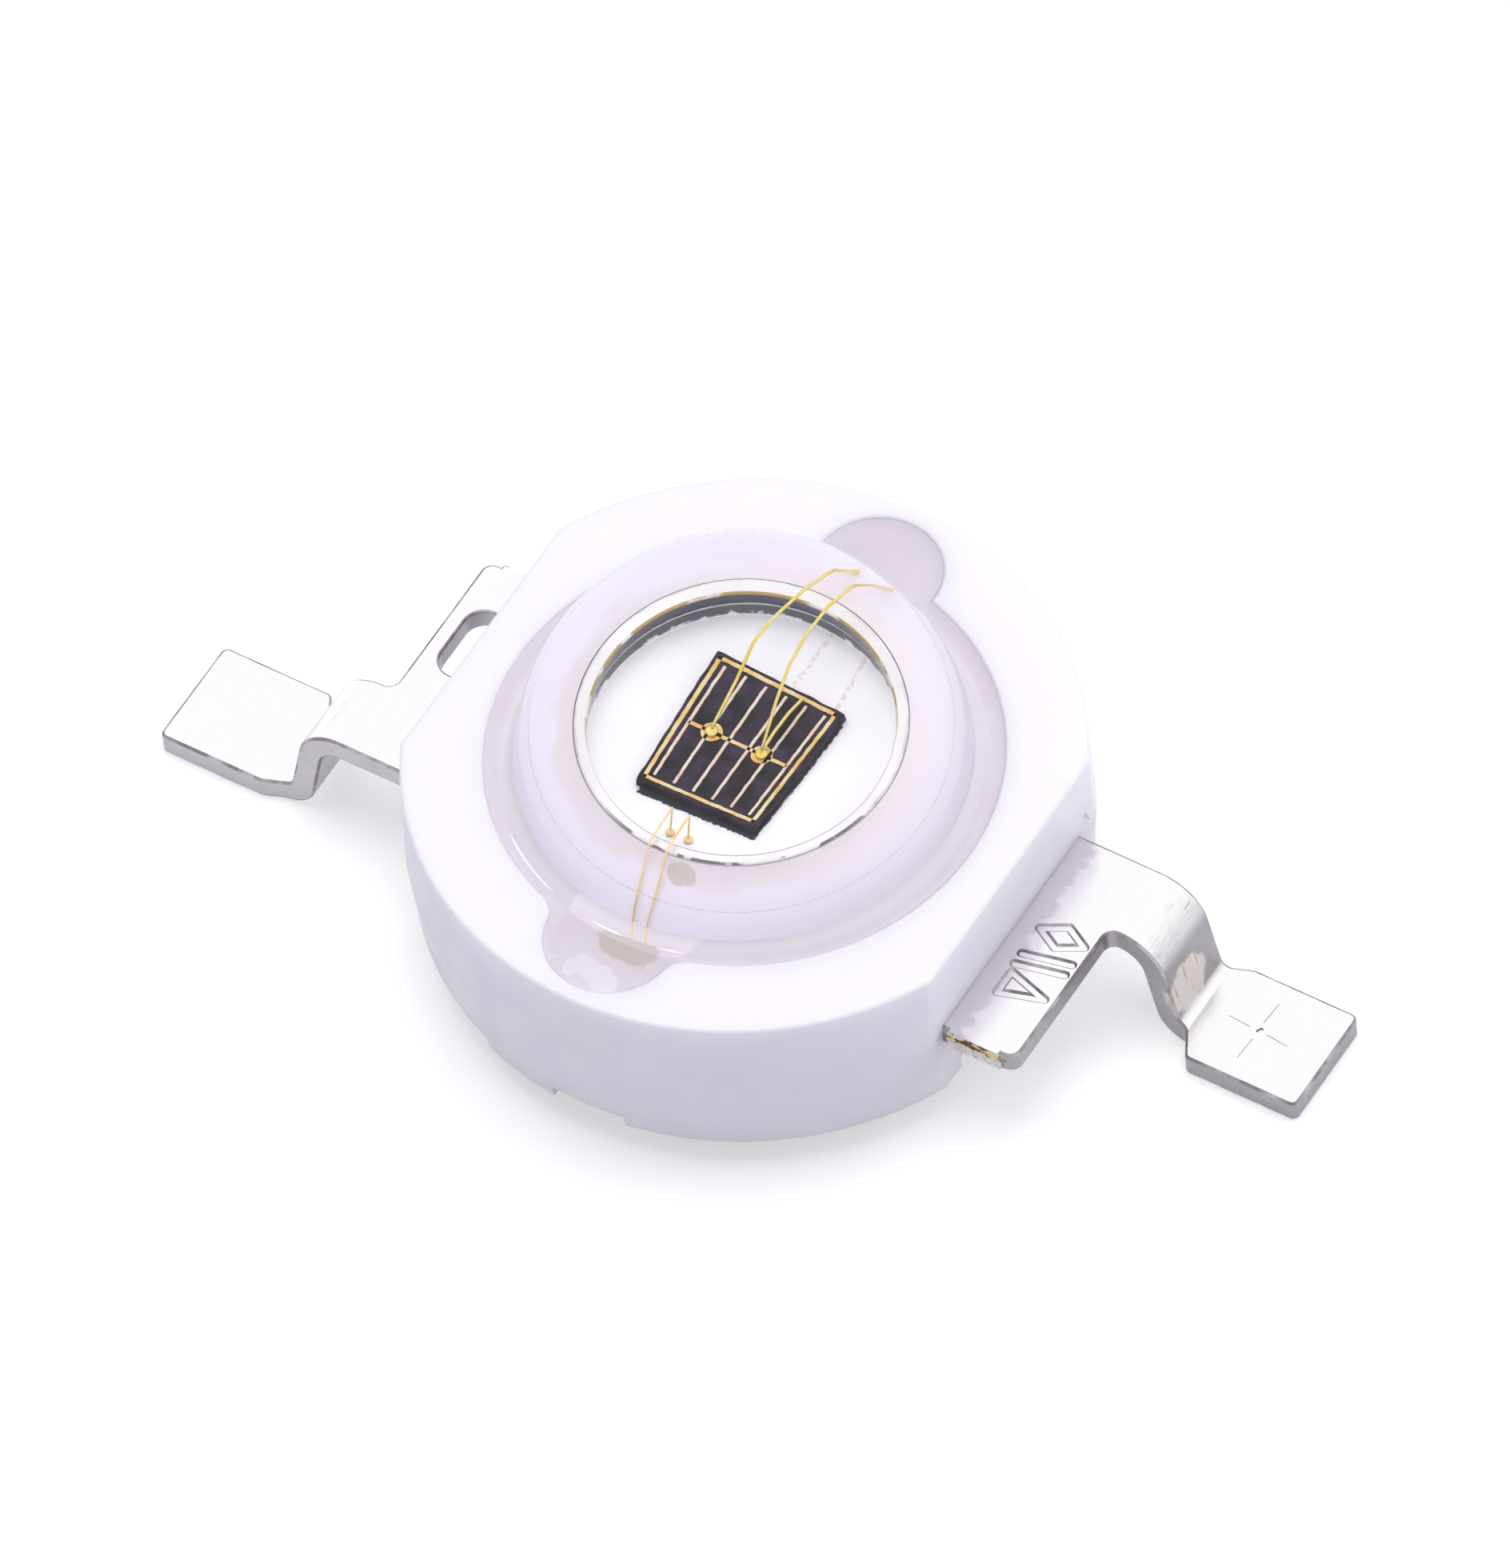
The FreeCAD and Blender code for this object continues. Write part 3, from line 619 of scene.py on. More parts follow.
@dataclass(frozen=True)
class MirrorPlating(Finish):
    """Bright silver plating of the slug."""

    base: Colour = (0.96, 0.95, 0.985)
    dull: Colour = (0.92, 0.91, 0.95)
    smooth: float = 0.03
    rough: float = 0.07
    metallic: float = 1.0
    wave_scale: float = 6.0
    wave_depth: float = 0.0022
    away: Point = (-0.51, 0.86)

    def surface(self, graph: Graph, place: Socket) -> dict:
        """The plating's colour and its faint waves."""
        grain = graph.effect(self.effects.grain, place, Scale=22.0).outputs
        waves = graph.effect(self.effects.grain, place, Scale=self.wave_scale).outputs["Height"]
        return {
            "Base Color": self.colour(graph, place, grain["Mottle"]), "Metallic": self.metallic,
            "Roughness": graph.between(grain["Mottle"], 0.0, 1.0, self.smooth, self.rough),
            "Normal": graph.bump(graph.plus(graph.times(grain["Height"], 0.25), waves), self.wave_depth),
        }

    def colour(self, graph: Graph, place: Socket, mottle: Socket) -> Socket:
        """The plating's colour."""
        return graph.blend(mottle, self.base, self.dull)

    def far_side(self, graph: Graph, place: Socket) -> Socket:
        """How far a place lies on the cup's far side: 1 at the back and -1 at the front."""
        x, y, out = graph.polar(place)
        across, along = self.away
        return graph.math("DIVIDE", graph.plus(graph.times(y, along), graph.times(x, across)), out)


@dataclass(frozen=True)
class CupFloor(MirrorPlating):
    """The cup's satin floor, with painted reflections: two faint dotted streaks behind the chip from the
    wires, and the chip's dark mirror image.
    """

    # Painted reflections of the two wires: their colour, and each streak's start and slope.
    wire_reflection: Colour = (0.80, 0.74, 0.72)
    streaks: tuple[Point, ...] = ((-0.065, 0.02), (0.46, -0.13))
    # The chip's painted dark reflection: its colour and its extent.
    mirrored: Colour = (0.035, 0.035, 0.055)
    mirrored_x: Point = (-0.628, 0.51)
    mirrored_y: Point = (-0.70, 0.675)
    blur: float = 0.006

    def colour(self, graph: Graph, place: Socket, mottle: Socket) -> Socket:
        """The floor's colour with its painted reflections."""
        colour = super().colour(graph, place, mottle)
        x, y, _ = graph.split(place)
        dots = graph.noise(place, 30.0, 1.0)
        broken = graph.times(graph.between(dots, 0.42, 0.5), graph.between(y, 0.7, 0.8))
        sway = graph.between(dots, 0.3, 0.7, -0.012, 0.012)
        # Faint dotted streaks: painted reflections of the wires.
        for start, slope in self.streaks:
            middle = graph.plus(graph.plus(graph.times(y, slope), start), sway)
            line = graph.between(graph.gap(x, middle), 0.012, 0.022, 1.0, 0.0)
            colour = graph.blend(graph.times(line, broken), colour, self.wire_reflection)
        # The chip's dark mirror image, painted.
        share = 1.0
        for along, (low, high) in ((x, self.mirrored_x), (y, self.mirrored_y)):
            off = graph.plus(graph.gap(along, (low + high) / 2), graph.times(sway, 0.6))
            half = (high - low) / 2
            share = graph.times(share, graph.between(off, half - self.blur, half + self.blur, 1.0, 0.0))
        return graph.blend(share, colour, self.mirrored)


@dataclass(frozen=True)
class CupWall(MirrorPlating):
    """The cup's wall: on its far side two dark bands, painted reflections, with a bright line between them.
    """

    # The dark of the painted reflections.
    dark: Colour = (0.05, 0.052, 0.085)
    low: float = 2.51
    high: float = 2.79

    def colour(self, graph: Graph, place: Socket, mottle: Socket) -> Socket:
        """The wall's colour with its painted reflection bands."""
        back = self.far_side(graph, place)
        wave = graph.between(graph.noise(place, 11.0, 4.0), 0.3, 0.7, -0.07, 0.07)
        level = graph.between(graph.split(place)[2], self.low, self.high)
        narrow = graph.between(back, 0.1, 0.7, 0.30, 0.0)
        upper = graph.minus(graph.plus(level, graph.times(wave, 0.35)), narrow)
        upper = graph.times(graph.between(upper, 0.55, 0.60), graph.between(back, -0.05, 0.12))
        lower = graph.times(graph.between(graph.plus(level, wave), -0.03, 0.03),
                            graph.between(level, 0.42, 0.46, 1.0, 0.0))
        reach = graph.between(graph.plus(back, wave), 0.42, 0.56, 0.0, 0.82)
        # Painted reflections: an upper dark band and a lower one on the far side.
        painted_reflection_bands = graph.most(upper, graph.times(lower, reach))
        return graph.blend(painted_reflection_bands, super().colour(graph, place, mottle), self.dark)


@dataclass(frozen=True)
class CupRim(MirrorPlating):
    """The rim's two edges, with painted reflections: gold on the inner edge at the back, and broken dark
    dashes on the outer edge in front.
    """

    dark_reflection: Colour = (0.12, 0.11, 0.15)
    gold_reflection: Colour = (0.48, 0.32, 0.13)
    middle: float = 1.39

    def colour(self, graph: Graph, place: Socket, mottle: Socket) -> Socket:
        """The edges' colour with their painted reflections."""
        outer = graph.between(graph.polar(place)[2], self.middle - 0.01, self.middle + 0.01)
        back = self.far_side(graph, place)
        broken = graph.noise(place, 4.0, 3.0)
        dashes = graph.times(graph.between(broken, 0.46, 0.54, 0.0, 0.9),
                             graph.between(back, -0.75, -0.4, 1.0, 0.2))
        # Broken dark dashes on the outer edge in front: painted reflection.
        colour = graph.blend(graph.times(dashes, outer), super().colour(graph, place, mottle), self.dark_reflection)
        # Gold on the inner edge at the back: painted reflection.
        gold_reflection = graph.times(graph.between(broken, 0.36, 0.46, 0.2, 1.0), graph.between(back, -0.1, 0.3))
        return graph.blend(graph.times(gold_reflection, graph.minus(1.0, outer)), colour, self.gold_reflection)


@dataclass(frozen=True)
class SolderGrey(Finish):
    """Dull solder under the chip."""

    base: Colour = (0.10, 0.095, 0.11)
    dark: Colour = (0.05, 0.05, 0.06)

    def surface(self, graph: Graph, place: Socket) -> dict:
        """The solder's mottled grey."""
        grain = graph.effect(self.effects.grain, place, Scale=60.0).outputs
        return {
            "Base Color": graph.blend(grain["Mottle"], self.base, self.dark), "Metallic": 1.0,
            "Roughness": 0.42, "Normal": graph.bump(grain["Height"], 0.004),
        }


@dataclass(frozen=True)
class ChipSurface(Finish):
    """Near black crystal with a faint violet mottling."""

    base: Colour = (0.012, 0.010, 0.014)
    sheen: Colour = (0.040, 0.026, 0.050)

    def surface(self, graph: Graph, place: Socket) -> dict:
        """The crystal's colour and its faint sheen."""
        grain = graph.effect(self.effects.grain, place, Scale=70.0).outputs
        return {
            "Base Color": graph.blend(grain["Mottle"], self.base, self.sheen),
            "Roughness": graph.between(grain["Mottle"], 0.0, 1.0, 0.38, 0.55),
            "Specular IOR Level": 0.5, "IOR": 1.16, "Normal": graph.bump(grain["Height"], 0.002),
        }


@dataclass(frozen=True)
class Gold(Finish):
    """Gold of the wires and the electrode, mottled with a paler gold."""

    base: Colour = (1.0, 0.76, 0.14)
    pale: Colour = (1.0, 0.86, 0.34)
    rough: float = 0.34
    metallic: float = 1.0

    def surface(self, graph: Graph, place: Socket) -> dict:
        """The gold's mottled colour."""
        grain = graph.effect(self.effects.grain, place, Scale=90.0).outputs
        return {
            "Base Color": graph.blend(grain["Mottle"], self.base, self.pale),
            "Metallic": self.metallic, "Roughness": self.rough, "Normal": graph.bump(grain["Height"], 0.001),
        }


def wire_share(graph: Graph, x: Socket, y: Socket, feet: Sequence[float], end: float, slope: float) -> Socket:
    """Where the near bond wires shine through a milky face.

    Args:
        graph: the material's graph.
        x: the place's x.
        y: the place's y.
        feet: the wires' x where they end.
        end: the y where they end.
        slope: how far x moves per unit of y.

    Returns:
        The share of gold.
    """
    share = 0.0
    lean = graph.times(graph.minus(y, end), slope)
    inside = graph.between(y, end - 0.015, end, 0.0, 0.85)
    for foot in feet:
        line = graph.between(graph.gap(graph.minus(x, foot), lean), 0.009, 0.017, 1.0, 0.0)
        share = graph.most(share, graph.times(line, inside))
    return share


@dataclass(frozen=True)
class ClearResin(Finish):
    """Clear resin or silicone that lamps shine through."""

    tint: Colour = (1.0, 1.0, 1.0)
    stain: Colour = (0.985, 0.98, 0.99)
    ior: float = 1.44
    transmission: float = 1.0
    smooth: float = 0.0
    wave: float = 0.0
    # Painted shade along the outline, where the resin is seen at a low angle.
    edge: Colour | None = None

    def colour(self, graph: Graph, place: Socket, mottle: Socket) -> Socket:
        """The resin's colour, painted darker and bluish where it is seen at a low angle, as shade along its
        outline.
        """
        colour = graph.blend(mottle, self.tint, self.stain)
        if self.edge is None:
            return colour
        facing = graph.add("ShaderNodeLayerWeight", {"Blend": 0.5}).outputs["Facing"]
        return graph.blend(graph.between(facing, 0.45, 0.95), colour, self.edge)

    def surface(self, graph: Graph, place: Socket) -> dict:
        """The resin's colour, clearness and faint waves."""
        grain = graph.effect(self.effects.grain, place, Scale=18.0).outputs
        inputs = {
            "Base Color": self.colour(graph, place, grain["Mottle"]),
            "Roughness": self.smooth, "IOR": self.ior, "Transmission Weight": self.transmission,
        }
        if self.wave > 0:
            inputs["Normal"] = graph.bump(grain["Height"], self.wave)
        return inputs

    def cover(self, graph: Graph, shader: Socket) -> Socket:
        """Lets the lamps' light through."""
        rays = graph.add("ShaderNodeLightPath").outputs
        return graph.mix(rays["Is Shadow Ray"], shader, graph.add("ShaderNodeBsdfTransparent").outputs[0])


@dataclass(frozen=True)
class BondedFace(ClearResin):
    """A face where resin and silicone touch, which can't be seen."""

    ior: float = 1.0

    def surface(self, graph: Graph, place: Socket) -> dict:
        """Lets everything through."""
        return {**super().surface(graph, place), "Alpha": 0.0, "Specular IOR Level": 0.0}


@dataclass(frozen=True)
class MilkySilicone(Finish):
    """Milky silicone under the lens: rosy at both sides, with a fine ring, a brown patch that is a painted
    reflection of the bond pad, and the wires' ends. It is painted lighter towards its near left side.

    With a glow it is seen from its back only, and lets light through from its front.
    """

    tint: Colour = (0.775, 0.73, 0.83)
    # Painted light: the lighter colour of the near left side.
    painted_light_side: Colour = (0.84, 0.79, 0.92)
    rosy: Colour = (0.80, 0.725, 0.79)
    ring: Colour = (0.62, 0.58, 0.66)
    # The brown patch: a painted reflection of the bond pad.
    patch: Colour = (0.62, 0.565, 0.535)
    gold: Colour = (0.86, 0.66, 0.22)
    pad_reflection_middle: Place = (0.22, -1.54, 2.6)
    ring_radius: float = 1.84
    feet: Point = (0.17, 0.345)
    end: Point = (-2.72, -0.19)
    glow: float = 0.0

    def surface(self, graph: Graph, place: Socket) -> dict:
        """The milk's colours, with painted light and a painted reflection."""
        x, y, out = graph.polar(place)
        grain = graph.effect(self.effects.grain, place, Scale=30.0).outputs
        wavy = graph.plus(out, graph.between(grain["Mottle"], 0.0, 1.0, -0.05, 0.05))
        sides = graph.most(graph.between(wavy, 1.54, 1.66, 0.9, 0.0), graph.between(wavy, 2.3, 2.5, 0.0, 0.4))
        # Painted light: lighter towards the near left side.
        colour = graph.blend(graph.between(graph.plus(x, y), -1.7, 1.7, 1.0, 0.0), self.tint, self.painted_light_side)
        colour = graph.blend(sides, colour, self.rosy)
        ring = graph.times(graph.between(graph.gap(out, self.ring_radius), 0.003, 0.009, 1.0, 0.0),
                           graph.between(grain["Height"], 0.42, 0.56, 0.25, 0.9))
        colour = graph.blend(ring, colour, self.ring)
        # A painted reflection of the bond pad, as a ragged brown patch.
        patch = graph.effect(
            self.effects.spot, place, Centre=self.pad_reflection_middle,
            Size=(0.15, 0.085, 1.0), Ragged=1.0, Scale=9.0,
        ).outputs[0]
        colour = graph.blend(graph.times(patch, 0.9), colour, self.patch)
        wires = wire_share(graph, x, y, self.feet, *self.end)
        colour = graph.blend(graph.times(wires, graph.between(y, -2.26, -2.2, 1.0, 0.0)), colour, self.gold)
        return {
            "Base Color": colour, "Roughness": 0.6, "Specular IOR Level": 0.0,
            "Emission Color": colour, "Emission Strength": self.glow,
        }

    def cover(self, graph: Graph, shader: Socket) -> Socket:
        """Shows a glowing face from its back only."""
        if self.glow == 0:
            return shader
        inside = graph.add("ShaderNodeNewGeometry").outputs["Backfacing"]
        lit = graph.minus(1.0, graph.add("ShaderNodeLightPath").outputs["Is Shadow Ray"])
        return graph.mix(graph.times(inside, lit), graph.add("ShaderNodeBsdfTransparent").outputs[0], shader)


@dataclass(frozen=True)
class SiliconeSkin(ClearResin):
    """The silicone's free skin: milky, with the bond pad's patch, pale glow and glints along the dome."""

    pad: Colour = (0.60, 0.555, 0.53)
    glow: Colour = (1.0, 0.98, 1.0)
    gold: Colour = (0.86, 0.66, 0.22)
    feet: Point = (0.205, 0.395)
    end: Point = (-2.86, -0.55)
    pad_middle: Place = (0.24, -2.99, 2.62)
    glow_middle: Place = (0.08, -3.54, 2.62)
    glint_radius: float = 2.893
    glints: tuple[Point, ...] = ((-130.0, -107.0), (-98.5, -86.0), (-80.5, -71.5))
    glint_fade: float = 5.0
    glint_width: float = 0.016

    def colour(self, graph: Graph, place: Socket, mottle: Socket) -> Socket:
        """The skin's colour with its patches and glints."""
        x, y, out = graph.polar(place)
        colour = graph.blend(mottle, self.tint, self.stain)
        pad = graph.effect(
            self.effects.spot, place, Centre=self.pad_middle, Size=(0.42, 0.23, 1.0), Ragged=1.3, Scale=5.0,
        ).outputs[0]
        glow = graph.effect(
            self.effects.spot, place, Centre=self.glow_middle, Size=(0.40, 0.17, 1.0), Ragged=3.2, Scale=3.6,
        ).outputs[0]
        colour = graph.blend(graph.times(glow, 0.32), colour, self.glow)
        colour = graph.blend(graph.between(out, 2.78, 2.90, 0.2, 0.0), colour, self.glow)
        outside = graph.between(out, self.glint_radius - 0.01, self.glint_radius)
        colour = graph.blend(graph.times(pad, outside), colour, self.pad)
        off = graph.gap(out, self.glint_radius)
        turn = graph.times(graph.math("ARCTAN2", y, x), 180 / math.pi)
        for start, end in self.glints:
            ends = graph.times(graph.between(turn, start, start + self.glint_fade),
                               graph.between(turn, end - self.glint_fade, end, 1.0, 0.0))
            thin = graph.minus(off, graph.times(ends, self.glint_width))
            colour = graph.blend(graph.between(thin, -0.004, 0.0, 1.0, 0.0), colour, self.glow)
        inner = graph.between(out, self.glint_radius - 0.02, self.glint_radius, 1.0, 0.0)
        wires = graph.times(wire_share(graph, x, y, self.feet, *self.end), inner)
        return graph.blend(wires, colour, self.gold)


class Palette:
    """Every finish of the part, built once."""

    def __init__(self) -> None:
        """Builds the materials."""
        effects = Effects()

        def made(kind: type[Finish], name: str, **values: object) -> Material:
            """A finish's material."""
            return kind(name, effects, **values).material()

        self.white = made(WhiteMoulding, "white_moulding")
        # Painted light: a lighter copy of the white moulding for the well's inside.
        self.white_inside = made(
            WhiteMoulding, "white_inside", base=(0.93, 0.90, 0.97), shade=(0.92, 0.89, 0.96),
        )
        self.lead_right = made(PlatedLead, "plated_lead_right", side=1.0)
        self.lead_left = made(
            PlatedLead, "plated_lead_left", side=-1.0, scuff=(0.72, 0.70, 0.70), dull=(0.42, 0.40, 0.44),
        )
        self.sheared = made(ShearedMetal, "sheared_metal")
        # Painted shade: dark grey for the sheets' rounded edges, which outlines them.
        self.lead_edge = made(
            SolderGrey, "lead_edge", base=(0.50, 0.48, 0.51), dark=(0.22, 0.20, 0.21),
        )
        self.groove = made(
            SolderGrey, "pressed_marks", base=(0.50, 0.48, 0.50), dark=(0.20, 0.18, 0.17),
        )
        self.mirror = made(MirrorPlating, "mirror_plating")
        # Painted light: the stem's side is a matt, paler copy of the plating.
        self.stem = made(
            MirrorPlating, "stem_side", base=(1.0, 0.97, 0.99), dull=(0.93, 0.88, 0.90),
            smooth=0.5, rough=0.6, metallic=0.0,
        )
        self.rim_flat = made(
            MirrorPlating, "rim_flat", base=(1.0, 0.975, 0.985), dull=(0.95, 0.92, 0.95),
            smooth=0.3, rough=0.45, metallic=0.6, wave_depth=0.004,
        )
        self.cup_floor = made(
            CupFloor, "cup_floor", base=(0.96, 0.94, 1.0), dull=(0.94, 0.925, 0.99),
            smooth=0.3, rough=0.4, metallic=0.2,
        )
        self.cup_wall = made(CupWall, "cup_wall", smooth=0.1, rough=0.16)
        self.cup_rim = made(
            CupRim, "cup_rim", base=(0.90, 0.87, 0.91), dull=(0.82, 0.79, 0.83), smooth=0.3, rough=0.4,
            metallic=0.3,
        )
        self.solder = made(SolderGrey, "solder_grey")
        self.chip = made(ChipSurface, "chip_surface")
        self.gold_wire = made(Gold, "gold_wire")
        self.gold_thin = made(
            Gold, "gold_thin", base=(0.90, 0.64, 0.20), pale=(1.0, 0.80, 0.42), metallic=0.4,
        )
        self.gold_frame = made(
            Gold, "gold_frame", base=(1.0, 0.62, 0.20), pale=(1.0, 0.88, 0.52), rough=0.42,
        )
        self.gold_grid = made(
            Gold, "gold_grid", base=(1.0, 0.74, 0.56), pale=(1.0, 0.90, 0.80), rough=0.46,
        )
        # The lens is painted darker and bluish along its outline: painted shade.
        self.lens = made(ClearResin, "lens_surface", ior=1.44, edge=(0.84, 0.84, 0.90))
        self.lens_bond = made(BondedFace, "lens_bonded")
        self.fill_bond = made(BondedFace, "silicone_bonded")
        self.milk = made(MilkySilicone, "milky_silicone")
        self.lens_foot = made(MilkySilicone, "lens_foot", glow=0.5)
        self.fill_top = made(
            SiliconeSkin, "silicone_top", ior=1.41, transmission=0.12, smooth=0.05, wave=0.004,
            tint=(0.765, 0.705, 0.77), stain=(0.745, 0.68, 0.75),
        )


# Plan of the well, shared by the housing and the silicone

@dataclass(frozen=True)
class WellPlan:
    """The round well with its two filling pockets: the one at -Y is blended in, the other is sharp."""

    radius: float = 3.03
    pocket_radius: float = 0.78
    pocket_offset: float = 3.0
    blend: float = 0.36
    floor_radius: float = 1.81
    cavity_radius: float = 2.35
    throat: float = 1.80

    def stretches(self, grow: float) -> list[list[Point]]:
        """The well's outline as arcs, counter-clockwise from the near pocket.

        Args:
            grow: how far the outline lies outside the well's own wall.

        Returns:
            The arcs, each with both of its ends.
        """
        well = self.radius + grow
        pocket = self.pocket_radius + grow
        reach = self.radius + self.blend
        across = self.pocket_radius + self.blend
        y = -(self.pocket_offset ** 2 + reach ** 2 - across ** 2) / (2 * self.pocket_offset)
        x = math.sqrt(reach ** 2 - y ** 2)
        lean = math.degrees(math.atan2(y + self.pocket_offset, x))
        mouth = math.degrees(math.atan2(y, x))
        far_y = (self.pocket_offset ** 2 + well ** 2 - pocket ** 2) / (2 * self.pocket_offset)
        far_x = math.sqrt(well ** 2 - far_y ** 2)
        corner = math.degrees(math.atan2(far_y, far_x))
        far_lean = math.degrees(math.atan2(far_y - self.pocket_offset, far_x))
        round_off = self.blend - grow
        near, far, middle = (0, -self.pocket_offset), (0, self.pocket_offset), (0, 0)
        return [
            arc(near, pocket, -180 - lean, lean, 48),
            arc((x, y), round_off, 180 + lean, 180 + mouth, 16),
            arc(middle, well, mouth, corner, 90),
            arc(far, pocket, far_lean, 180 - far_lean, 56),
            arc(middle, well, 180 - corner, 180 - mouth, 90),
            arc((-x, y), round_off, -mouth, -lean, 16),
        ]

    def outline(self, grow: float = 0.0) -> list[Point]:
        """The outline's points, each once."""
        return [point for stretch in self.stretches(grow) for point in stretch[:-1]]

    def shadow(self, grow: float, radius: float) -> list[Point]:
        """A point on an inner circle for each point of the outline, evenly spread over each arc."""
        points: list[Point] = []
        for stretch in self.stretches(grow):
            first = math.degrees(math.atan2(stretch[0][1], stretch[0][0]))
            last = math.degrees(math.atan2(stretch[-1][1], stretch[-1][0]))
            last += 360 if last < first else 0
            points += arc((0, 0), radius, first, last, len(stretch) - 1)[:-1]
        return points

    def pocket_outline(self, side: int, shrink: float = 0.0) -> list[Point]:
        """The plan of one pocket's lower part, from its round end in under the lens."""
        radius = self.pocket_radius - shrink
        end = arc((0, self.pocket_offset), radius, 0, 180, 40)
        inner = self.throat + shrink
        points = end + [(-radius, inner), (radius, inner)]
        return points if side > 0 else [(-x, -y) for x, y in points]


# Sub-assemblies

@dataclass
class GullWingLead:
    """One bent sheet lead: bond ring, plate with its ear, arm, bends and foot."""

    name: str
    turned: bool
    thickness: float = 0.30
    plate_top: float = 1.60
    reach: float = 4.55
    tip: float = 7.20
    arm_near: float = 0.50
    arm_far: float = 1.50
    ear: float = 1.62
    ear_corner: float = 0.15
    arm_corner: float = 0.14
    bend_gap: float = 0.12
    bend_radius: float = 0.32
    rise: float = 78.0
    toe_radius: float = 0.14
    foot_length: float = 1.48
    foot_near: float = 0.135
    foot_far: float = 1.605
    foot_corner: float = 0.09
    shoulder_run: float = 0.20
    plate_root: float = 2.60
    ring_inner: float = 1.95
    ring_outer: float = 2.92
    ring_end: float = 99.0
    stub_start: float = 3.64
    stub_end: float = 4.36
    stub_proud: float = 0.06
    edge: float = 0.03
    slot_centre: Point = (4.08, -0.49)
    slot_size: Point = (0.50, 1.01)

    def profile(self) -> list[Point]:
        """The sheet's side view in the XZ plane."""
        outer = self.bend_radius + self.thickness
        centre = (self.reach + self.bend_gap, self.plate_top - outer)
        turn = 90 - self.rise
        slope = math.radians(self.rise)
        upper = arc(centre, outer, 90, turn, 18)
        toe_height = self.thickness + self.toe_radius
        drop = upper[-1][1] - (toe_height - self.toe_radius * math.cos(slope))
        leg_x = upper[-1][0] + drop / math.tan(slope)
        toe = (leg_x + self.toe_radius * math.sin(slope), toe_height)
        toe_top = arc(toe, self.toe_radius, -90 - self.rise, -90, 10)
        toe_under = arc(toe, self.toe_radius + self.thickness, -90, -90 - self.rise, 14)
        lower = arc(centre, self.bend_radius, turn, 90, 14)
        root = -self.ring_outer
        return (
            [(root, self.plate_top)] + upper + toe_top + [(self.tip, self.thickness), (self.tip, 0.0)]
            + toe_under + lower + [(root, self.plate_top - self.thickness)]
        )

    def plan(self) -> list[Point]:
        """The right lead's outline in plan."""
        shoulder = self.tip - self.foot_length
        join = math.degrees(math.acos(self.plate_root / self.ring_outer))
        ring = arc((0, 0), self.ring_outer, join, self.ring_end, 44)
        ring += arc((0, 0), self.ring_inner, self.ring_end, 0, 60)
        corners = [
            (self.plate_root, -self.ear, 0), (self.stub_start, -self.ear, 0),
            (self.stub_start, -self.ear - self.stub_proud, 0),
            (self.stub_end, -self.ear - self.stub_proud, 0),
            (self.stub_end, -self.ear, 0), (self.reach, -self.ear, self.ear_corner),
            (self.reach, self.arm_near, self.arm_corner), (shoulder - self.shoulder_run, self.arm_near, 0.1),
            (shoulder, self.foot_near, self.foot_corner), (self.tip, self.foot_near, self.foot_corner),
            (self.tip, self.foot_far, self.foot_corner), (shoulder + 0.08, self.foot_far, 0.2),
            (shoulder - self.shoulder_run, self.arm_far, 0.3), (self.plate_root, self.arm_far, 0),
        ]
        corners += [(x, y, 0) for x, y in ring] + [(self.plate_root, 0.0, 0)]
        return rounded_outline(corners)

    def blank(self, name: str) -> Shape:
        """The lead with its edges still sharp, on the +X side."""
        shape = side_prism(name, self.profile(), 4.0)
        combine(shape, prism("plan", self.plan(), -0.2, self.plate_top + 0.2), "INTERSECT")
        return shape

    def slot(self) -> Shape:
        """A tool for the obround slot, on the +X side before the half turn."""
        x, y = self.slot_centre
        half_x, half_y = self.slot_size[0] / 2, self.slot_size[1] / 2
        round_end = half_x - 0.0005
        outline = rounded_outline([
            (x - half_x, y - half_y, round_end), (x + half_x, y - half_y, round_end),
            (x + half_x, y + half_y, round_end), (x - half_x, y + half_y, round_end),
        ])
        return prism("slot", outline, self.plate_top - 2 * self.thickness, self.plate_top + self.thickness)

    def turn(self, shape: Shape) -> None:
        """Gives a shape the lead's half turn, if it has one."""
        if self.turned:
            shape.data.transform(Matrix.Rotation(math.pi, 4, "Z"))

    def tool_for_body(self) -> Shape:
        """A sharp copy that cuts the lead's bed in the body."""
        shape = self.blank(self.name + "_bed")
        self.turn(shape)
        return shape

    def tear(self, seed: int) -> Shape:
        """A tool with a torn face, which roughens the end of the cut tie bar."""
        rows, columns = 22, 60
        face_y = -self.ear - self.stub_proud
        vertices, faces = [], []
        for row in range(rows + 1):
            for column in range(columns + 1):
                x = self.stub_start - 0.1 + (self.stub_end - self.stub_start + 0.2) * column / columns
                z = self.plate_top - self.thickness - 0.05 + (self.thickness + 0.1) * row / rows
                rough = noise.fractal(Vector((x * 9, seed, z * 14)), 0.6, 2.0, 4)
                lip = 0.02 * math.sin(math.pi * row / rows)
                vertices.append(Vector((x, face_y + 0.022 + lip + 0.03 * rough, z)))
        front = len(vertices)
        vertices += [Vector((v.x, face_y - 0.3, v.z)) for v in vertices]
        width = columns + 1
        for row in range(rows):
            for column in range(columns):
                a = row * width + column
                faces.append([a, a + 1, a + width + 1, a + width])
                faces.append([front + a, front + a + width, front + a + width + 1, front + a + 1])
        border = list(range(columns)) + [r * width + columns for r in range(rows)]
        border += [rows * width + c for c in range(columns, 0, -1)] + [r * width for r in range(rows, 0, -1)]
        for here, there in zip(border, border[1:] + border[:1]):
            faces.append([here, there, there + front, here + front])
        return shape_from("tear", vertices, faces)


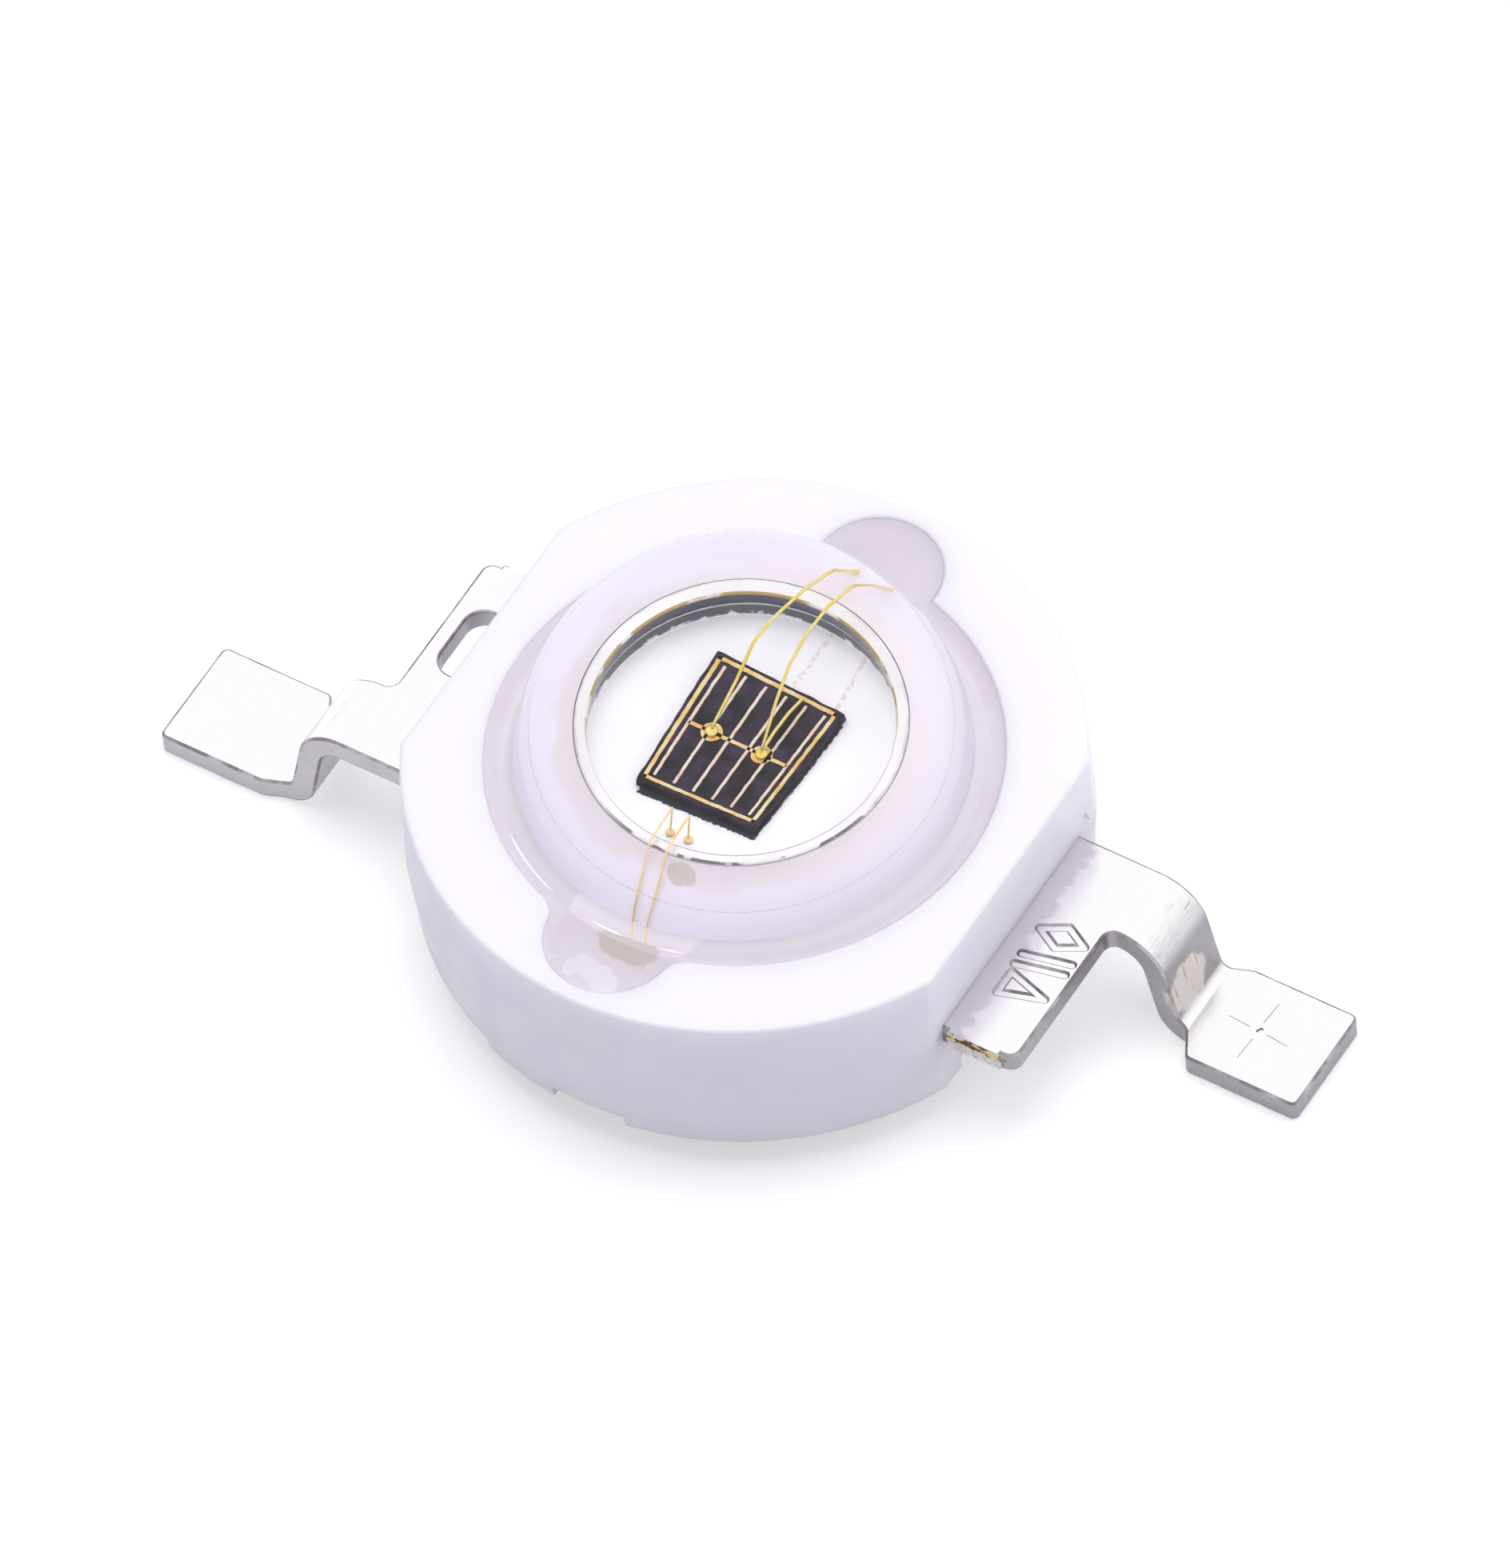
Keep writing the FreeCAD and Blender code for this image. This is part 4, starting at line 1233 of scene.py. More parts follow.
@dataclass(frozen=True)
class Groove:
    """A line pressed or scribed into a flat face: its plan points, its width and its depth."""

    points: tuple[Point, ...]
    width: float
    depth: float

    def press(self, shape: Shape, top: float, materials: Sequence[Material]) -> None:
        """Presses the line into a face at a height; the materials are those of its floor and its walls."""
        for first, last in zip(self.points, self.points[1:]):
            tool = self.tool(first, last, top)
            for material in materials:
                tool.data.materials.append(material)
            for face in tool.data.polygons:
                face.material_index = 0 if abs(face.normal.z) > 0.95 else 1
            combine(shape, tool)

    def tool(self, first: Point, last: Point, top: float) -> Shape:
        """A tool with sloping walls and round ends along one run of the line."""
        lean = math.degrees(math.atan2(last[1] - first[1], last[0] - first[0]))
        half = self.width / 2
        wall = min(self.depth, half * 0.6)
        loops = []
        for height, width in ((-self.depth, half - wall), (0.0, half), (self.depth, half + wall)):
            outline = arc(last, width, lean - 90, lean + 90, 8) + arc(first, width, lean + 90, lean + 270, 8)
            loops.append(lifted(outline, top + height))
        return loft("groove", loops)


@dataclass
class Marks:
    """Generic marks pressed into the right lead's ear, and the cross scribed on its foot."""

    ear_middle: Point = (4.14, -0.29)
    pitch: float = 0.43
    half_width: float = 0.165
    half_height: float = 0.30
    stroke: float = 0.12
    depth: float = 0.028
    cross_middle: Point = (6.28, 0.86)
    cross_arms: Point = (0.40, 0.44)
    cross_stroke: float = 0.014
    cross_depth: float = 0.006

    def figure(self, index: int, points: Sequence[Point]) -> Groove:
        """A figure of the row, from points given as shares of its half width and half height."""
        middle_x, middle_y = self.ear_middle
        y = middle_y + (index - 1) * self.pitch
        return Groove(tuple(
            (middle_x + v * self.half_height, y + u * self.half_width) for u, v in points
        ), self.stroke, self.depth)

    def ear_grooves(self) -> list[Groove]:
        """A triangle, two bars and a diamond."""
        return [
            self.figure(0, ((-1, -0.9), (1, -0.9), (0, 0.9), (-1, -0.9))),
            self.figure(1, ((-0.9, -1), (-0.1, 1))),
            self.figure(1, ((0.1, -1), (0.9, 1))),
            self.figure(2, ((-1, 0), (0, -1), (1, 0), (0, 1), (-1, 0))),
        ]

    def foot_grooves(self) -> list[Groove]:
        """The scribed cross, whose lines fade before its centre, and the pip in the middle."""
        x, y = self.cross_middle
        along, across = self.cross_arms
        gap = 0.3
        lines = [
            ((x - along, y + 0.03), (x - gap * along, y + 0.01)),
            ((x + gap * along, y), (x + along, y - 0.03)),
            ((x - 0.02, y - across), (x, y - gap * across)),
            ((x, y + gap * across), (x + 0.02, y + across)),
        ]
        grooves = [Groove(line, self.cross_stroke, self.cross_depth) for line in lines]
        pip = Groove(((x, y), (x + 0.02, y + 0.04)), 0.05, 0.02)
        return grooves + [pip]


@dataclass
class Housing:
    """The white moulded body with its lens well, filling pockets and stand-off pads."""

    plan: WellPlan = field(default_factory=WellPlan)
    diameter: float = 8.0
    flat: float = 3.58
    base: float = 0.63
    pad_drop: float = 0.20
    parting: float = 1.45
    upper_draft: float = 1.2
    lower_draft: float = 4.5
    edge: float = 0.035
    seat_depth: float = 0.48
    floor_drop: float = 0.12
    pad_inner: float = 3.20
    wide_pad: Point = (-81.4, -20.0)
    narrow_pad: Point = (-110.5, -95.3)
    pad_corner: float = 0.07
    pocket_floor: float = 1.63
    window: tuple[float, float, float, float] = (0.33, 2.20, 2.84, 0.12)
    gate: tuple[float, float, float, float] = (0.34, 0.07, 1.78, 2.40)

    def __post_init__(self) -> None:
        """Reads the body's height from the frame."""
        self.top = cad_span("housing")[1].z

    def radius(self, height: float) -> float:
        """The drafted body's radius at a height."""
        widest = self.diameter / 2 + (self.top - self.parting) * math.tan(math.radians(self.upper_draft))
        draft = self.upper_draft if height >= self.parting else self.lower_draft
        return widest - abs(height - self.parting) * math.tan(math.radians(draft))

    def ring(self, height: float, inset: float) -> list[Vector]:
        """The body's outline at a height, moved in by inset."""
        radius = self.radius(height) - inset
        flat = self.flat - inset
        corner = math.degrees(math.acos(flat / radius))
        half = radius * math.sin(math.radians(corner))
        side = [(flat, y) for y in np.linspace(-half, half, 13)[1:-1]]
        upper = arc((0, 0), radius, corner, 180 - corner, 110)
        points = side + upper
        return lifted(points + [(-x, -y) for x, y in points], height)

    def rim(self) -> list[Point]:
        """Heights and insets round the top's rounded edge."""
        turns = [math.radians(15 * step) for step in range(1, 7)]
        return [(self.top - self.edge * (1 - math.sin(t)), self.edge * (1 - math.cos(t))) for t in turns]

    def block(self) -> Shape:
        """The drafted block with its two flats and its rounded rim."""
        lowest = self.base - self.pad_drop
        levels = [(lowest, 0.03), (lowest + 0.03, 0.0), (self.parting - 0.012, 0.0), (self.parting, 0.0)]
        levels += [(self.parting + 0.012, 0.004), (self.top - self.edge, 0.0)] + self.rim()
        return loft("white_body", [self.ring(height, inset) for height, inset in levels])

    def under_gaps(self) -> Shape:
        """A tool that leaves only the stand-off pads below the base."""
        edges = sorted(
            (start + turn, end + turn)
            for start, end in (self.wide_pad, self.narrow_pad) for turn in (0, 180)
        )
        corners: list[Corner] = []
        far = self.diameter
        for index, (start, end) in enumerate(edges):
            following = edges[(index + 1) % len(edges)][0] + (360 if index == len(edges) - 1 else 0)
            pad = arc((0, 0), self.pad_inner, start, end)
            corners += [(x, y, 0) for x, y in pad]
            corners += [(x, y, 0) for x, y in arc((0, 0), far, end, following)]
        return prism("under_gaps", rounded_outline(corners), -1.0, self.base)

    def well(self) -> Shape:
        """A tool for the well above the seat, which rounds the well's rim."""
        seat = self.top - self.seat_depth
        levels = [(seat, 0.0), (self.top - self.edge, 0.0)] + self.rim() + [(self.top + 0.5, self.edge)]
        return loft("well", [lifted(self.plan.outline(grow), height) for height, grow in levels])

    def cavity(self) -> Shape:
        """A tool for the sloping cavity below the seat."""
        seat = self.top - self.seat_depth
        floor = seat - self.floor_drop
        return lathe("cavity", [
            (0, floor), (self.plan.floor_radius, floor), (self.plan.cavity_radius - 0.03, seat - 0.012),
            (self.plan.cavity_radius, seat - 0.004), (self.plan.cavity_radius + 0.02, seat + 0.0005),
            (self.plan.cavity_radius + 0.02, seat + 0.1), (0, seat + 0.1),
        ])

    def window_tool(self, side: int) -> Shape:
        """A tool for the window that bares a bond pad in a pocket's floor."""
        half, inner, outer, corner = self.window
        outline = rounded_outline([
            (half, inner, corner), (half, outer, corner), (-half, outer, corner), (-half, inner, corner),
        ])
        return prism("window", [(side * x, side * y) for x, y in outline], 1.45, self.pocket_floor + 0.05)

    def gate_stub(self) -> Shape:
        """The stub of the mould's gate on the corner beside the right flat."""
        width, proud, low, high = self.gate
        y = math.sqrt((self.diameter / 2) ** 2 - self.flat ** 2)
        outline = [(self.flat - width, low), (self.flat + proud, low), (self.flat - width, high)]
        return loft("gate", [[Vector((x, depth, z)) for x, z in outline] for depth in (y - 2 * proud, y)])

    def build(self, leads: Sequence[GullWingLead], slug: "HeatSlug", palette: Palette) -> Shape:
        """Builds and dresses the body."""
        body = self.block()
        combine(body, self.under_gaps())
        combine(body, self.gate_stub(), "UNION")
        combine(body, self.well())
        combine(body, self.cavity())
        for side in (-1, 1):
            outline = self.plan.pocket_outline(side)
            combine(body, prism("pocket", outline, self.pocket_floor, self.top - self.seat_depth + 0.1))
            combine(body, self.window_tool(side))
        for lead in leads:
            combine(body, lead.tool_for_body())
        combine(body, slug.bed(0.0005))
        limit = self.plan.radius - 0.02

        def side(centre: Vector, normal: Vector) -> int:
            """0 on the outside, 1 inside the well under the lens, where the white is painted lighter."""
            return 1 if math.hypot(centre.x, centre.y) < limit and centre.z > 1.5 else 0

        finishes = [palette.white, palette.white_inside]
        return deliver(body, ["housing"], finishes, choose=side)


@dataclass
class HeatSlug:
    """The plated slug: base, collar, grooved stem and mirror cup."""

    base_radius: float = 2.75
    base_height: float = 0.45
    collar_radius: float = 2.55
    collar_height: float = 0.95
    stem_radius: float = 1.45
    cup_radius: float = 1.33
    cup_draft: float = 0.03
    cup_depth: float = 0.30
    groove: tuple[float, float, float] = (0.12, 1.08, 1.26)
    edge: float = 0.06
    rim_edge: float = 0.022

    def __post_init__(self) -> None:
        """Reads the rim's height from the frame."""
        self.rim = cad_span("heat_slug")[1].z

    @property
    def cup_floor(self) -> float:
        """The height of the cup's floor."""
        return self.rim - self.cup_depth

    def solid(self, name: str) -> Shape:
        """The slug's solid, with its edges rounded."""
        return lathe(name, rounded_outline(self.section(1.0)))

    def bed(self, grow: float) -> Shape:
        """A plain tool of the slug's form, a little larger, that makes room for it."""
        points = [(x, y) for x, y, _ in self.section(0.0)]
        middle = len(points) - 3
        grown_points = []
        for index, (x, y) in enumerate(points):
            out = grow if index <= middle else -grow
            rise = grow if index >= middle - 1 else 0.0
            grown_points.append((max(0.0, x + out) if x > 0 else 0.0, y + rise))
        return lathe("slug_bed", grown_points, 160)

    def section(self, round_share: float) -> list[Corner]:
        """The slug's section from the axis below to the axis above.

        Args:
            round_share: 1 for rounded edges, or 0 for sharp ones.

        Returns:
            The section's corners.
        """
        depth, low, high = self.groove
        stem, fine = self.stem_radius, self.rim_edge
        corners = [
            (0, 0, 0), (self.base_radius, 0, self.edge), (self.base_radius, self.base_height, 0.03),
            (self.collar_radius, self.base_height, 0), (self.collar_radius, self.collar_height, 0.03),
            (stem, self.collar_height, 0), (stem, low, 0), (stem - depth, low, 0), (stem - depth, high, 0),
            (stem, high, 0), (stem, self.rim, fine), (self.cup_radius, self.rim, fine),
            (self.cup_radius - self.cup_draft, self.cup_floor, 0.012), (0, self.cup_floor, 0),
        ]
        return [(x, y, radius * round_share) for x, y, radius in corners]

    def build(self, palette: Palette) -> Shape:
        """Builds and dresses the slug."""
        fine = self.rim_edge
        low, high = self.cup_floor, self.rim

        def side(centre: Vector, normal: Vector) -> int:
            """0 below, 1 on the rim's edges, 2 on the stem, 3 and 4 in the cup, 5 on the rim."""
            out = math.hypot(centre.x, centre.y)
            if centre.z > high - fine and self.cup_radius - 0.004 < out < self.stem_radius:
                flat = self.cup_radius + fine < out < self.stem_radius - fine
                return 5 if flat else 1
            if out > self.stem_radius - 0.002 and centre.z > self.collar_height:
                return 2
            if out < self.cup_radius and centre.z > low - 0.001:
                return 3 if normal.z > 0.7 else 4
            return 0

        finishes = [
            palette.mirror, palette.cup_rim, palette.stem,
            palette.cup_floor, palette.cup_wall, palette.rim_flat,
        ]
        return deliver(self.solid("mirror_slug"), ["heat_slug"], finishes, choose=side)


class GridNodes:
    """Geometry nodes for the chip's gold: rows of thin bars, laid out, worn and dressed."""

    def __init__(self, name: str, sizes: Sequence[str], materials: Sequence[str]) -> None:
        """Starts a tree whose inputs are a finger count, the named sizes and the named materials."""
        inputs = {"Finger Count": "Int", **{label: "Float" for label in sizes}}
        inputs.update({label: "Material" for label in materials})
        outputs = {"Geometry": "Geometry"}
        self.graph, self.given, self.out = new_group(name, "GeometryNodeTree", inputs, outputs)
        self.zero = self.vector(0.0, 0.0, 0.0)

    def vector(self, x: object, y: object, z: object) -> Socket:
        """A vector from three values."""
        return self.graph.add("ShaderNodeCombineXYZ", {0: x, 1: y, 2: z}).outputs[0]

    def bar(self, wide: object, deep: object, along_x: int, along_y: int) -> Socket:
        """A flat bar with enough points along it to look worn."""
        return self.graph.add("GeometryNodeMeshCube", {
            "Size": self.vector(wide, deep, self.given["Thickness"]),
            "Vertices X": along_x, "Vertices Y": along_y,
        }).outputs["Mesh"]

    def row(self, count: object, gap: Socket, what: Socket,
            middle: Socket) -> Socket:
        """Copies of a shape along a line that is centred on middle."""
        graph = self.graph
        back = graph.times(graph.minus(count, 1), -0.5)
        start = graph.add("ShaderNodeVectorMath", {0: gap, "Scale": back}, operation="SCALE")
        line = graph.add("GeometryNodeMeshLine", {
            "Count": count, "Start Location": graph.vectors("ADD", start.outputs[0], middle), "Offset": gap,
        }, mode="OFFSET")
        copies = graph.add("GeometryNodeInstanceOnPoints", {"Points": line.outputs[0], "Instance": what})
        return copies.outputs[0]

    def dress(self, part: Socket, label: str) -> Socket:
        """Gives a part one of the tree's materials."""
        return self.graph.add("GeometryNodeSetMaterial", {0: part, "Material": self.given[label]}).outputs[0]

    def finish(self, parts: Sequence[Socket], shift: Point) -> Tree:
        """Joins the dressed parts, wears their edges and lifts them onto the chip."""
        graph = self.graph
        joined = graph.add("GeometryNodeJoinGeometry")
        for part in parts:
            graph.tree.links.new(part, joined.inputs[0])
        real = graph.add("GeometryNodeRealizeInstances", {0: joined.outputs[0]})
        place = graph.add("GeometryNodeInputPosition")
        rough = graph.add("ShaderNodeTexNoise", {"Vector": place.outputs[0], "Scale": 14.0, "Detail": 3.0})
        centred = graph.vectors("SUBTRACT", rough.outputs["Color"], (0.5, 0.5, 0.5))
        flat = graph.vectors("MULTIPLY", centred, (1.0, 1.0, 0.0))
        moved = graph.add("ShaderNodeVectorMath", {0: flat, "Scale": self.given["Wobble"]}, operation="SCALE")
        raised = graph.vectors("ADD", moved.outputs[0], self.vector(*shift, self.given["Height"]))
        shifted = graph.add("GeometryNodeSetPosition", {0: real.outputs[0], "Offset": raised})
        graph.feed(self.out["Geometry"], shifted.outputs[0])
        return graph.tree


@dataclass
class Chip:
    """The bare chip on its solder, with the gold frame and grid on its face."""

    width: float = 1.16
    depth: float = 1.37
    thickness: float = 0.085
    shift: Point = (-0.09, 0.05)
    solder: float = 0.010
    metal: float = 0.006
    frame_margin: float = 0.035
    frame_width: float = 0.034
    fingers: int = 6
    finger_pitch: float = 0.184
    finger_width: float = 0.026
    finger_gap: float = 0.03
    bar_width: float = 0.032
    bar_shift: float = 0.015
    ball_span: float = 0.47
    pad_diameter: float = 0.18
    wobble: float = 0.016
    ragged: float = 0.012
    seed: int = 8
    floor: float = 2.51

    @property
    def top(self) -> float:
        """The height of the chip's face."""
        return self.floor + self.solder + self.thickness

    def ball_places(self) -> list[Point]:
        """Where the two chip wires are bonded, in plan."""
        middle = self.shift[0] - self.frame_width / 2
        return [(middle + side * self.ball_span / 2, self.shift[1] + self.bar_shift) for side in (-1, 1)]

    def slab(self, name: str, low: float, high: float) -> Shape:
        """A thin slab of the chip's plan with slightly broken edges."""
        half_x, half_y = self.width / 2, self.depth / 2
        corners = [(half_x, -half_y), (half_x, half_y), (-half_x, half_y), (-half_x, -half_y)]
        outline: list[Point] = []
        steps = 26
        for (ax, ay), (bx, by) in zip(corners, corners[1:] + corners[:1]):
            outline += [(ax + (bx - ax) * s / steps, ay + (by - ay) * s / steps) for s in range(steps)]
        loops = []
        fine = min(0.012, (high - low) / 4)
        for row, (height, inset) in enumerate(((low, 0.0), (high - fine, 0.0), (high, fine))):
            loop = []
            for x, y in outline:
                away = noise.noise(Vector((x * 9, y * 9, self.seed + row * 0.7))) * self.ragged
                share = 1 + (away - inset) / max(half_x, half_y)
                loop.append(Vector((self.shift[0] + x * share, self.shift[1] + y * share, height)))
            loops.append(loop)
        return loft(name, loops)

    def frame_tree(self) -> Tree:
        """Geometry nodes that lay out the gold frame."""
        sizes = ["Width", "Depth", "Line", "Thickness", "Height", "Wobble"]
        nodes = GridNodes("chip_frame_bars", sizes, ["Material"])
        given, graph = nodes.given, nodes.graph
        sides = nodes.row(2, nodes.vector(graph.minus(given["Width"], given["Line"]), 0.0, 0.0),
                          nodes.bar(given["Line"], given["Depth"], 2, 90), nodes.zero)
        ends = nodes.row(2, nodes.vector(0.0, graph.minus(given["Depth"], given["Line"]), 0.0),
                         nodes.bar(given["Width"], given["Line"], 90, 2), nodes.zero)
        return nodes.finish([nodes.dress(part, "Material") for part in (sides, ends)], self.shift)

    def grid_tree(self) -> Tree:
        """Geometry nodes that lay out the fingers, the crossbar and the bond pads."""
        nodes = GridNodes("chip_grid_bars", [
            "Finger Width", "Finger Length", "Pitch", "Bar Length", "Bar Width", "Bar Shift",
            "Pad Span", "Pad Shift", "Pad Diameter", "Thickness", "Height", "Wobble",
        ], ["Material", "Pad Material"])
        given, graph = nodes.given, nodes.graph
        fingers = nodes.row(given["Finger Count"], nodes.vector(given["Pitch"], 0.0, 0.0),
                            nodes.bar(given["Finger Width"], given["Finger Length"], 2, 90), nodes.zero)
        cross = nodes.row(1, nodes.zero, nodes.bar(given["Bar Length"], given["Bar Width"], 90, 2),
                          nodes.vector(0.0, given["Bar Shift"], 0.0))
        pad = graph.add("GeometryNodeMeshCylinder", {
            "Vertices": 32, "Radius": graph.times(given["Pad Diameter"], 0.5), "Depth": given["Thickness"],
        })
        pads = nodes.row(2, nodes.vector(given["Pad Span"], 0.0, 0.0),
                         nodes.dress(pad.outputs["Mesh"], "Pad Material"),
                         nodes.vector(given["Pad Shift"], given["Bar Shift"], 0.0))
        return nodes.finish(
            [nodes.dress(fingers, "Material"), nodes.dress(cross, "Pad Material"), pads], self.shift,
        )

    def metal_values(self, material: Material) -> dict:
        """The inputs that both of the chip's trees share."""
        return {
            "Thickness": self.metal, "Height": self.top + self.metal / 2,
            "Wobble": self.wobble, "Material": material,
        }

    def frame(self, palette: Palette) -> Shape:
        """The gold frame."""
        return grown("gold_frame", self.frame_tree(), {
            "Width": self.width - 2 * self.frame_margin, "Depth": self.depth - 2 * self.frame_margin,
            "Line": self.frame_width, **self.metal_values(palette.gold_frame),
        })

    def grid(self, palette: Palette) -> Shape:
        """The gold grid inside the frame."""
        inset = self.frame_margin + self.frame_width + self.finger_gap
        return grown("gold_grid", self.grid_tree(), {
            "Finger Count": self.fingers, "Finger Width": self.finger_width,
            "Finger Length": self.depth - 2 * inset,
            "Pitch": self.finger_pitch, "Bar Length": (self.fingers - 1) * self.finger_pitch,
            "Bar Width": self.bar_width, "Bar Shift": self.bar_shift, "Pad Span": self.ball_span,
            "Pad Shift": -self.frame_width / 2, "Pad Diameter": self.pad_diameter,
            "Pad Material": palette.gold_frame, **self.metal_values(palette.gold_grid),
        })

    def build(self, palette: Palette) -> list[Shape]:
        """Builds and dresses the chip, its solder and its gold."""
        solder = self.slab("chip_solder", self.floor, self.floor + self.solder)
        chip = self.slab("bare_chip", self.floor + self.solder, self.top)
        return [
            deliver(solder, ["die_attach"], [palette.solder]),
            deliver(chip, ["led_chip"], [palette.chip]),
            deliver(self.frame(palette), ["chip_frame"]),
            deliver(self.grid(palette), ["chip_grid"]),
        ]


def grown(
    name: str, tree: Tree, values: dict, runs: Sequence[Sequence[Vector]] = (),
) -> Shape:
    """A shape made by geometry nodes and turned into a plain mesh.

    Args:
        name: the shape's name.
        tree: its geometry nodes.
        values: the tree's inputs, by name.
        runs: runs of points for the tree to follow, if it needs any.

    Returns:
        The shape, with no modifier left.
    """
    mesh = bpy.data.meshes.new(name)
    points, edges = [], []
    for run in runs:
        edges += [(len(points) + index, len(points) + index + 1) for index in range(len(run) - 1)]
        points += [tuple(point) for point in run]
    mesh.from_pydata(points, edges, [])
    shape = placed(name, mesh)
    change = shape.modifiers.new(name, "NODES")
    change.node_group = tree
    sockets = {item.name: item.identifier for item in tree.interface.items_tree if item.in_out == "INPUT"}
    for key, value in values.items():
        change[sockets[key]] = value
    bake(shape)
    return shape


class BondKind(Enum):
    """Which surface a bond wire starts on."""

    CHIP = "chip"
    CUP = "cup"


@dataclass(frozen=True)
class BondWire:
    """One gold wire: the points of its loop, its diameter, how round its bends are, and any loose tail."""

    name: str
    kind: BondKind
    points: tuple[Place, ...]
    diameter: float
    corner: float
    tail: tuple[Place, ...] = ()


@dataclass
class BondWires:
    """All four gold wires, which one tree of geometry nodes makes."""

    chip_diameter: float = 0.030
    cup_diameter: float = 0.021
    ball_diameter: float = 0.11
    cup_ball: float = 0.085
    ball_height: float = 0.05
    stitch: Point = (0.14, 0.07)
    pad: float = 1.60

    def wires(self, chip: Chip, slug: HeatSlug) -> list[BondWire]:
        """The wires, with their loops in millimetres."""
        (ax, ay), (bx, by) = chip.ball_places()
        face = chip.top + chip.metal
        floor = slug.cup_floor
        thick, thin = self.chip_diameter, self.cup_diameter
        end = self.pad + thick / 2
        return [
            BondWire("chip_wire_a", BondKind.CHIP, (
                (ax, ay, face), (ax, ay, face + 0.05),
                (-0.29, 0.40, 2.97), (-0.255, 0.66, 3.28), (-0.22, 0.96, 3.29),
                (-0.19, 1.32, 3.16), (-0.16, 1.64, 2.96), (-0.155, 1.79, 2.43), (-0.145, 1.90, 2.08),
                (-0.11, 2.34, end), (-0.10, 2.44, end),
            ), thick, 0.16),
            BondWire("chip_wire_b", BondKind.CHIP, (
                (bx, by, face), (bx, by, face + 0.05),
                (0.15, 0.32, 3.07), (0.15, 0.59, 3.32), (0.14, 0.92, 3.39),
                (0.13, 1.26, 3.33), (0.12, 1.61, 3.12), (0.12, 1.72, 2.86), (0.12, 1.90, 2.20),
                (0.10, 2.34, end), (0.10, 2.44, end),
            ), thick, 0.16, ((bx, by, face + 0.04), (bx, by + 0.2, face + 0.07),
                             (bx, by + 0.42, face + 0.06), (bx + 0.005, by + 0.6, face + 0.02))),
            BondWire("slug_wire_a", BondKind.CUP, (
                (-0.17, -0.98, floor), (-0.17, -0.98, floor + 0.05),
                (-0.15, -0.99, 2.89), (-0.148, -1.49, 2.89),
                (-0.14, -1.65, 2.64), (-0.05, -2.19, 2.34), (-0.06, -2.26, 2.0), (-0.10, -2.34, end),
                (-0.10, -2.44, end),
            ), thin, 0.05),
            BondWire("slug_wire_b", BondKind.CUP, (
                (0.01, -0.98, floor), (0.01, -0.98, floor + 0.05), (0.03, -0.99, 2.89), (0.05, -1.51, 2.89),
                (0.06, -1.67, 2.63), (0.115, -2.18, 2.34), (0.11, -2.26, 2.0), (0.10, -2.34, end),
                (0.10, -2.44, end),
            ), thin, 0.05),
        ]

    def tree(self) -> Tree:
        """Geometry nodes that run a round wire along points, with a ball and a flat stitch."""
        graph, given, out = new_group("bond_wire", "GeometryNodeTree", {
            "Geometry": "Geometry", "Wire Diameter": "Float", "Corner Radius": "Float",
            "Ball Diameter": "Float", "Ball Height": "Float",
            "Stitch Length": "Float", "Stitch Width": "Float", "Material": "Material",
        }, {"Geometry": "Geometry"})
        path = graph.add("GeometryNodeMeshToCurve", {0: given["Geometry"]})
        round_path = graph.add("GeometryNodeFilletCurve", {
            "Curve": path.outputs[0], "Count": 8, "Radius": given["Corner Radius"], "Limit Radius": True,
        }, mode="POLY")
        half = graph.times(given["Wire Diameter"], 0.5)
        section = graph.add("GeometryNodeCurvePrimitiveCircle", {"Resolution": 14, "Radius": half})
        tube = graph.add("GeometryNodeCurveToMesh", {
            "Curve": round_path.outputs[0], "Profile Curve": section.outputs[0], "Fill Caps": True,
        })
        ball = graph.add("GeometryNodeMeshUVSphere", {"Segments": 28, "Rings": 14, "Radius": 0.5})

        def at_end(first: int, sizes: Sequence[str]) -> Node:
            """A ball of the named sizes at the wire's first or last point."""
            ends = {"Start Size": first, "End Size": 1 - first}
            where = graph.add("GeometryNodeCurveEndpointSelection", ends)
            size = graph.add("ShaderNodeCombineXYZ", {axis: given[label] for axis, label in enumerate(sizes)})
            return graph.add("GeometryNodeInstanceOnPoints", {
                "Points": path.outputs[0], "Selection": where.outputs[0], "Instance": ball.outputs[0],
                "Scale": size.outputs[0],
            })

        balls = at_end(1, ("Ball Diameter", "Ball Diameter", "Ball Height"))
        lift = graph.add("ShaderNodeCombineXYZ", {2: graph.times(given["Ball Height"], 0.42)})
        raised = graph.add("GeometryNodeTransform", {0: balls.outputs[0], "Translation": lift.outputs[0]})
        feet = at_end(0, ("Stitch Width", "Stitch Length", "Wire Diameter"))
        joined = graph.add("GeometryNodeJoinGeometry")
        for part in (tube, raised, feet):
            graph.tree.links.new(part.outputs[0], joined.inputs[0])
        real = graph.add("GeometryNodeRealizeInstances", {0: joined.outputs[0]})
        dressed = graph.add("GeometryNodeSetMaterial", {0: real.outputs[0], "Material": given["Material"]})
        graph.feed(out["Geometry"], dressed.outputs[0])
        return graph.tree

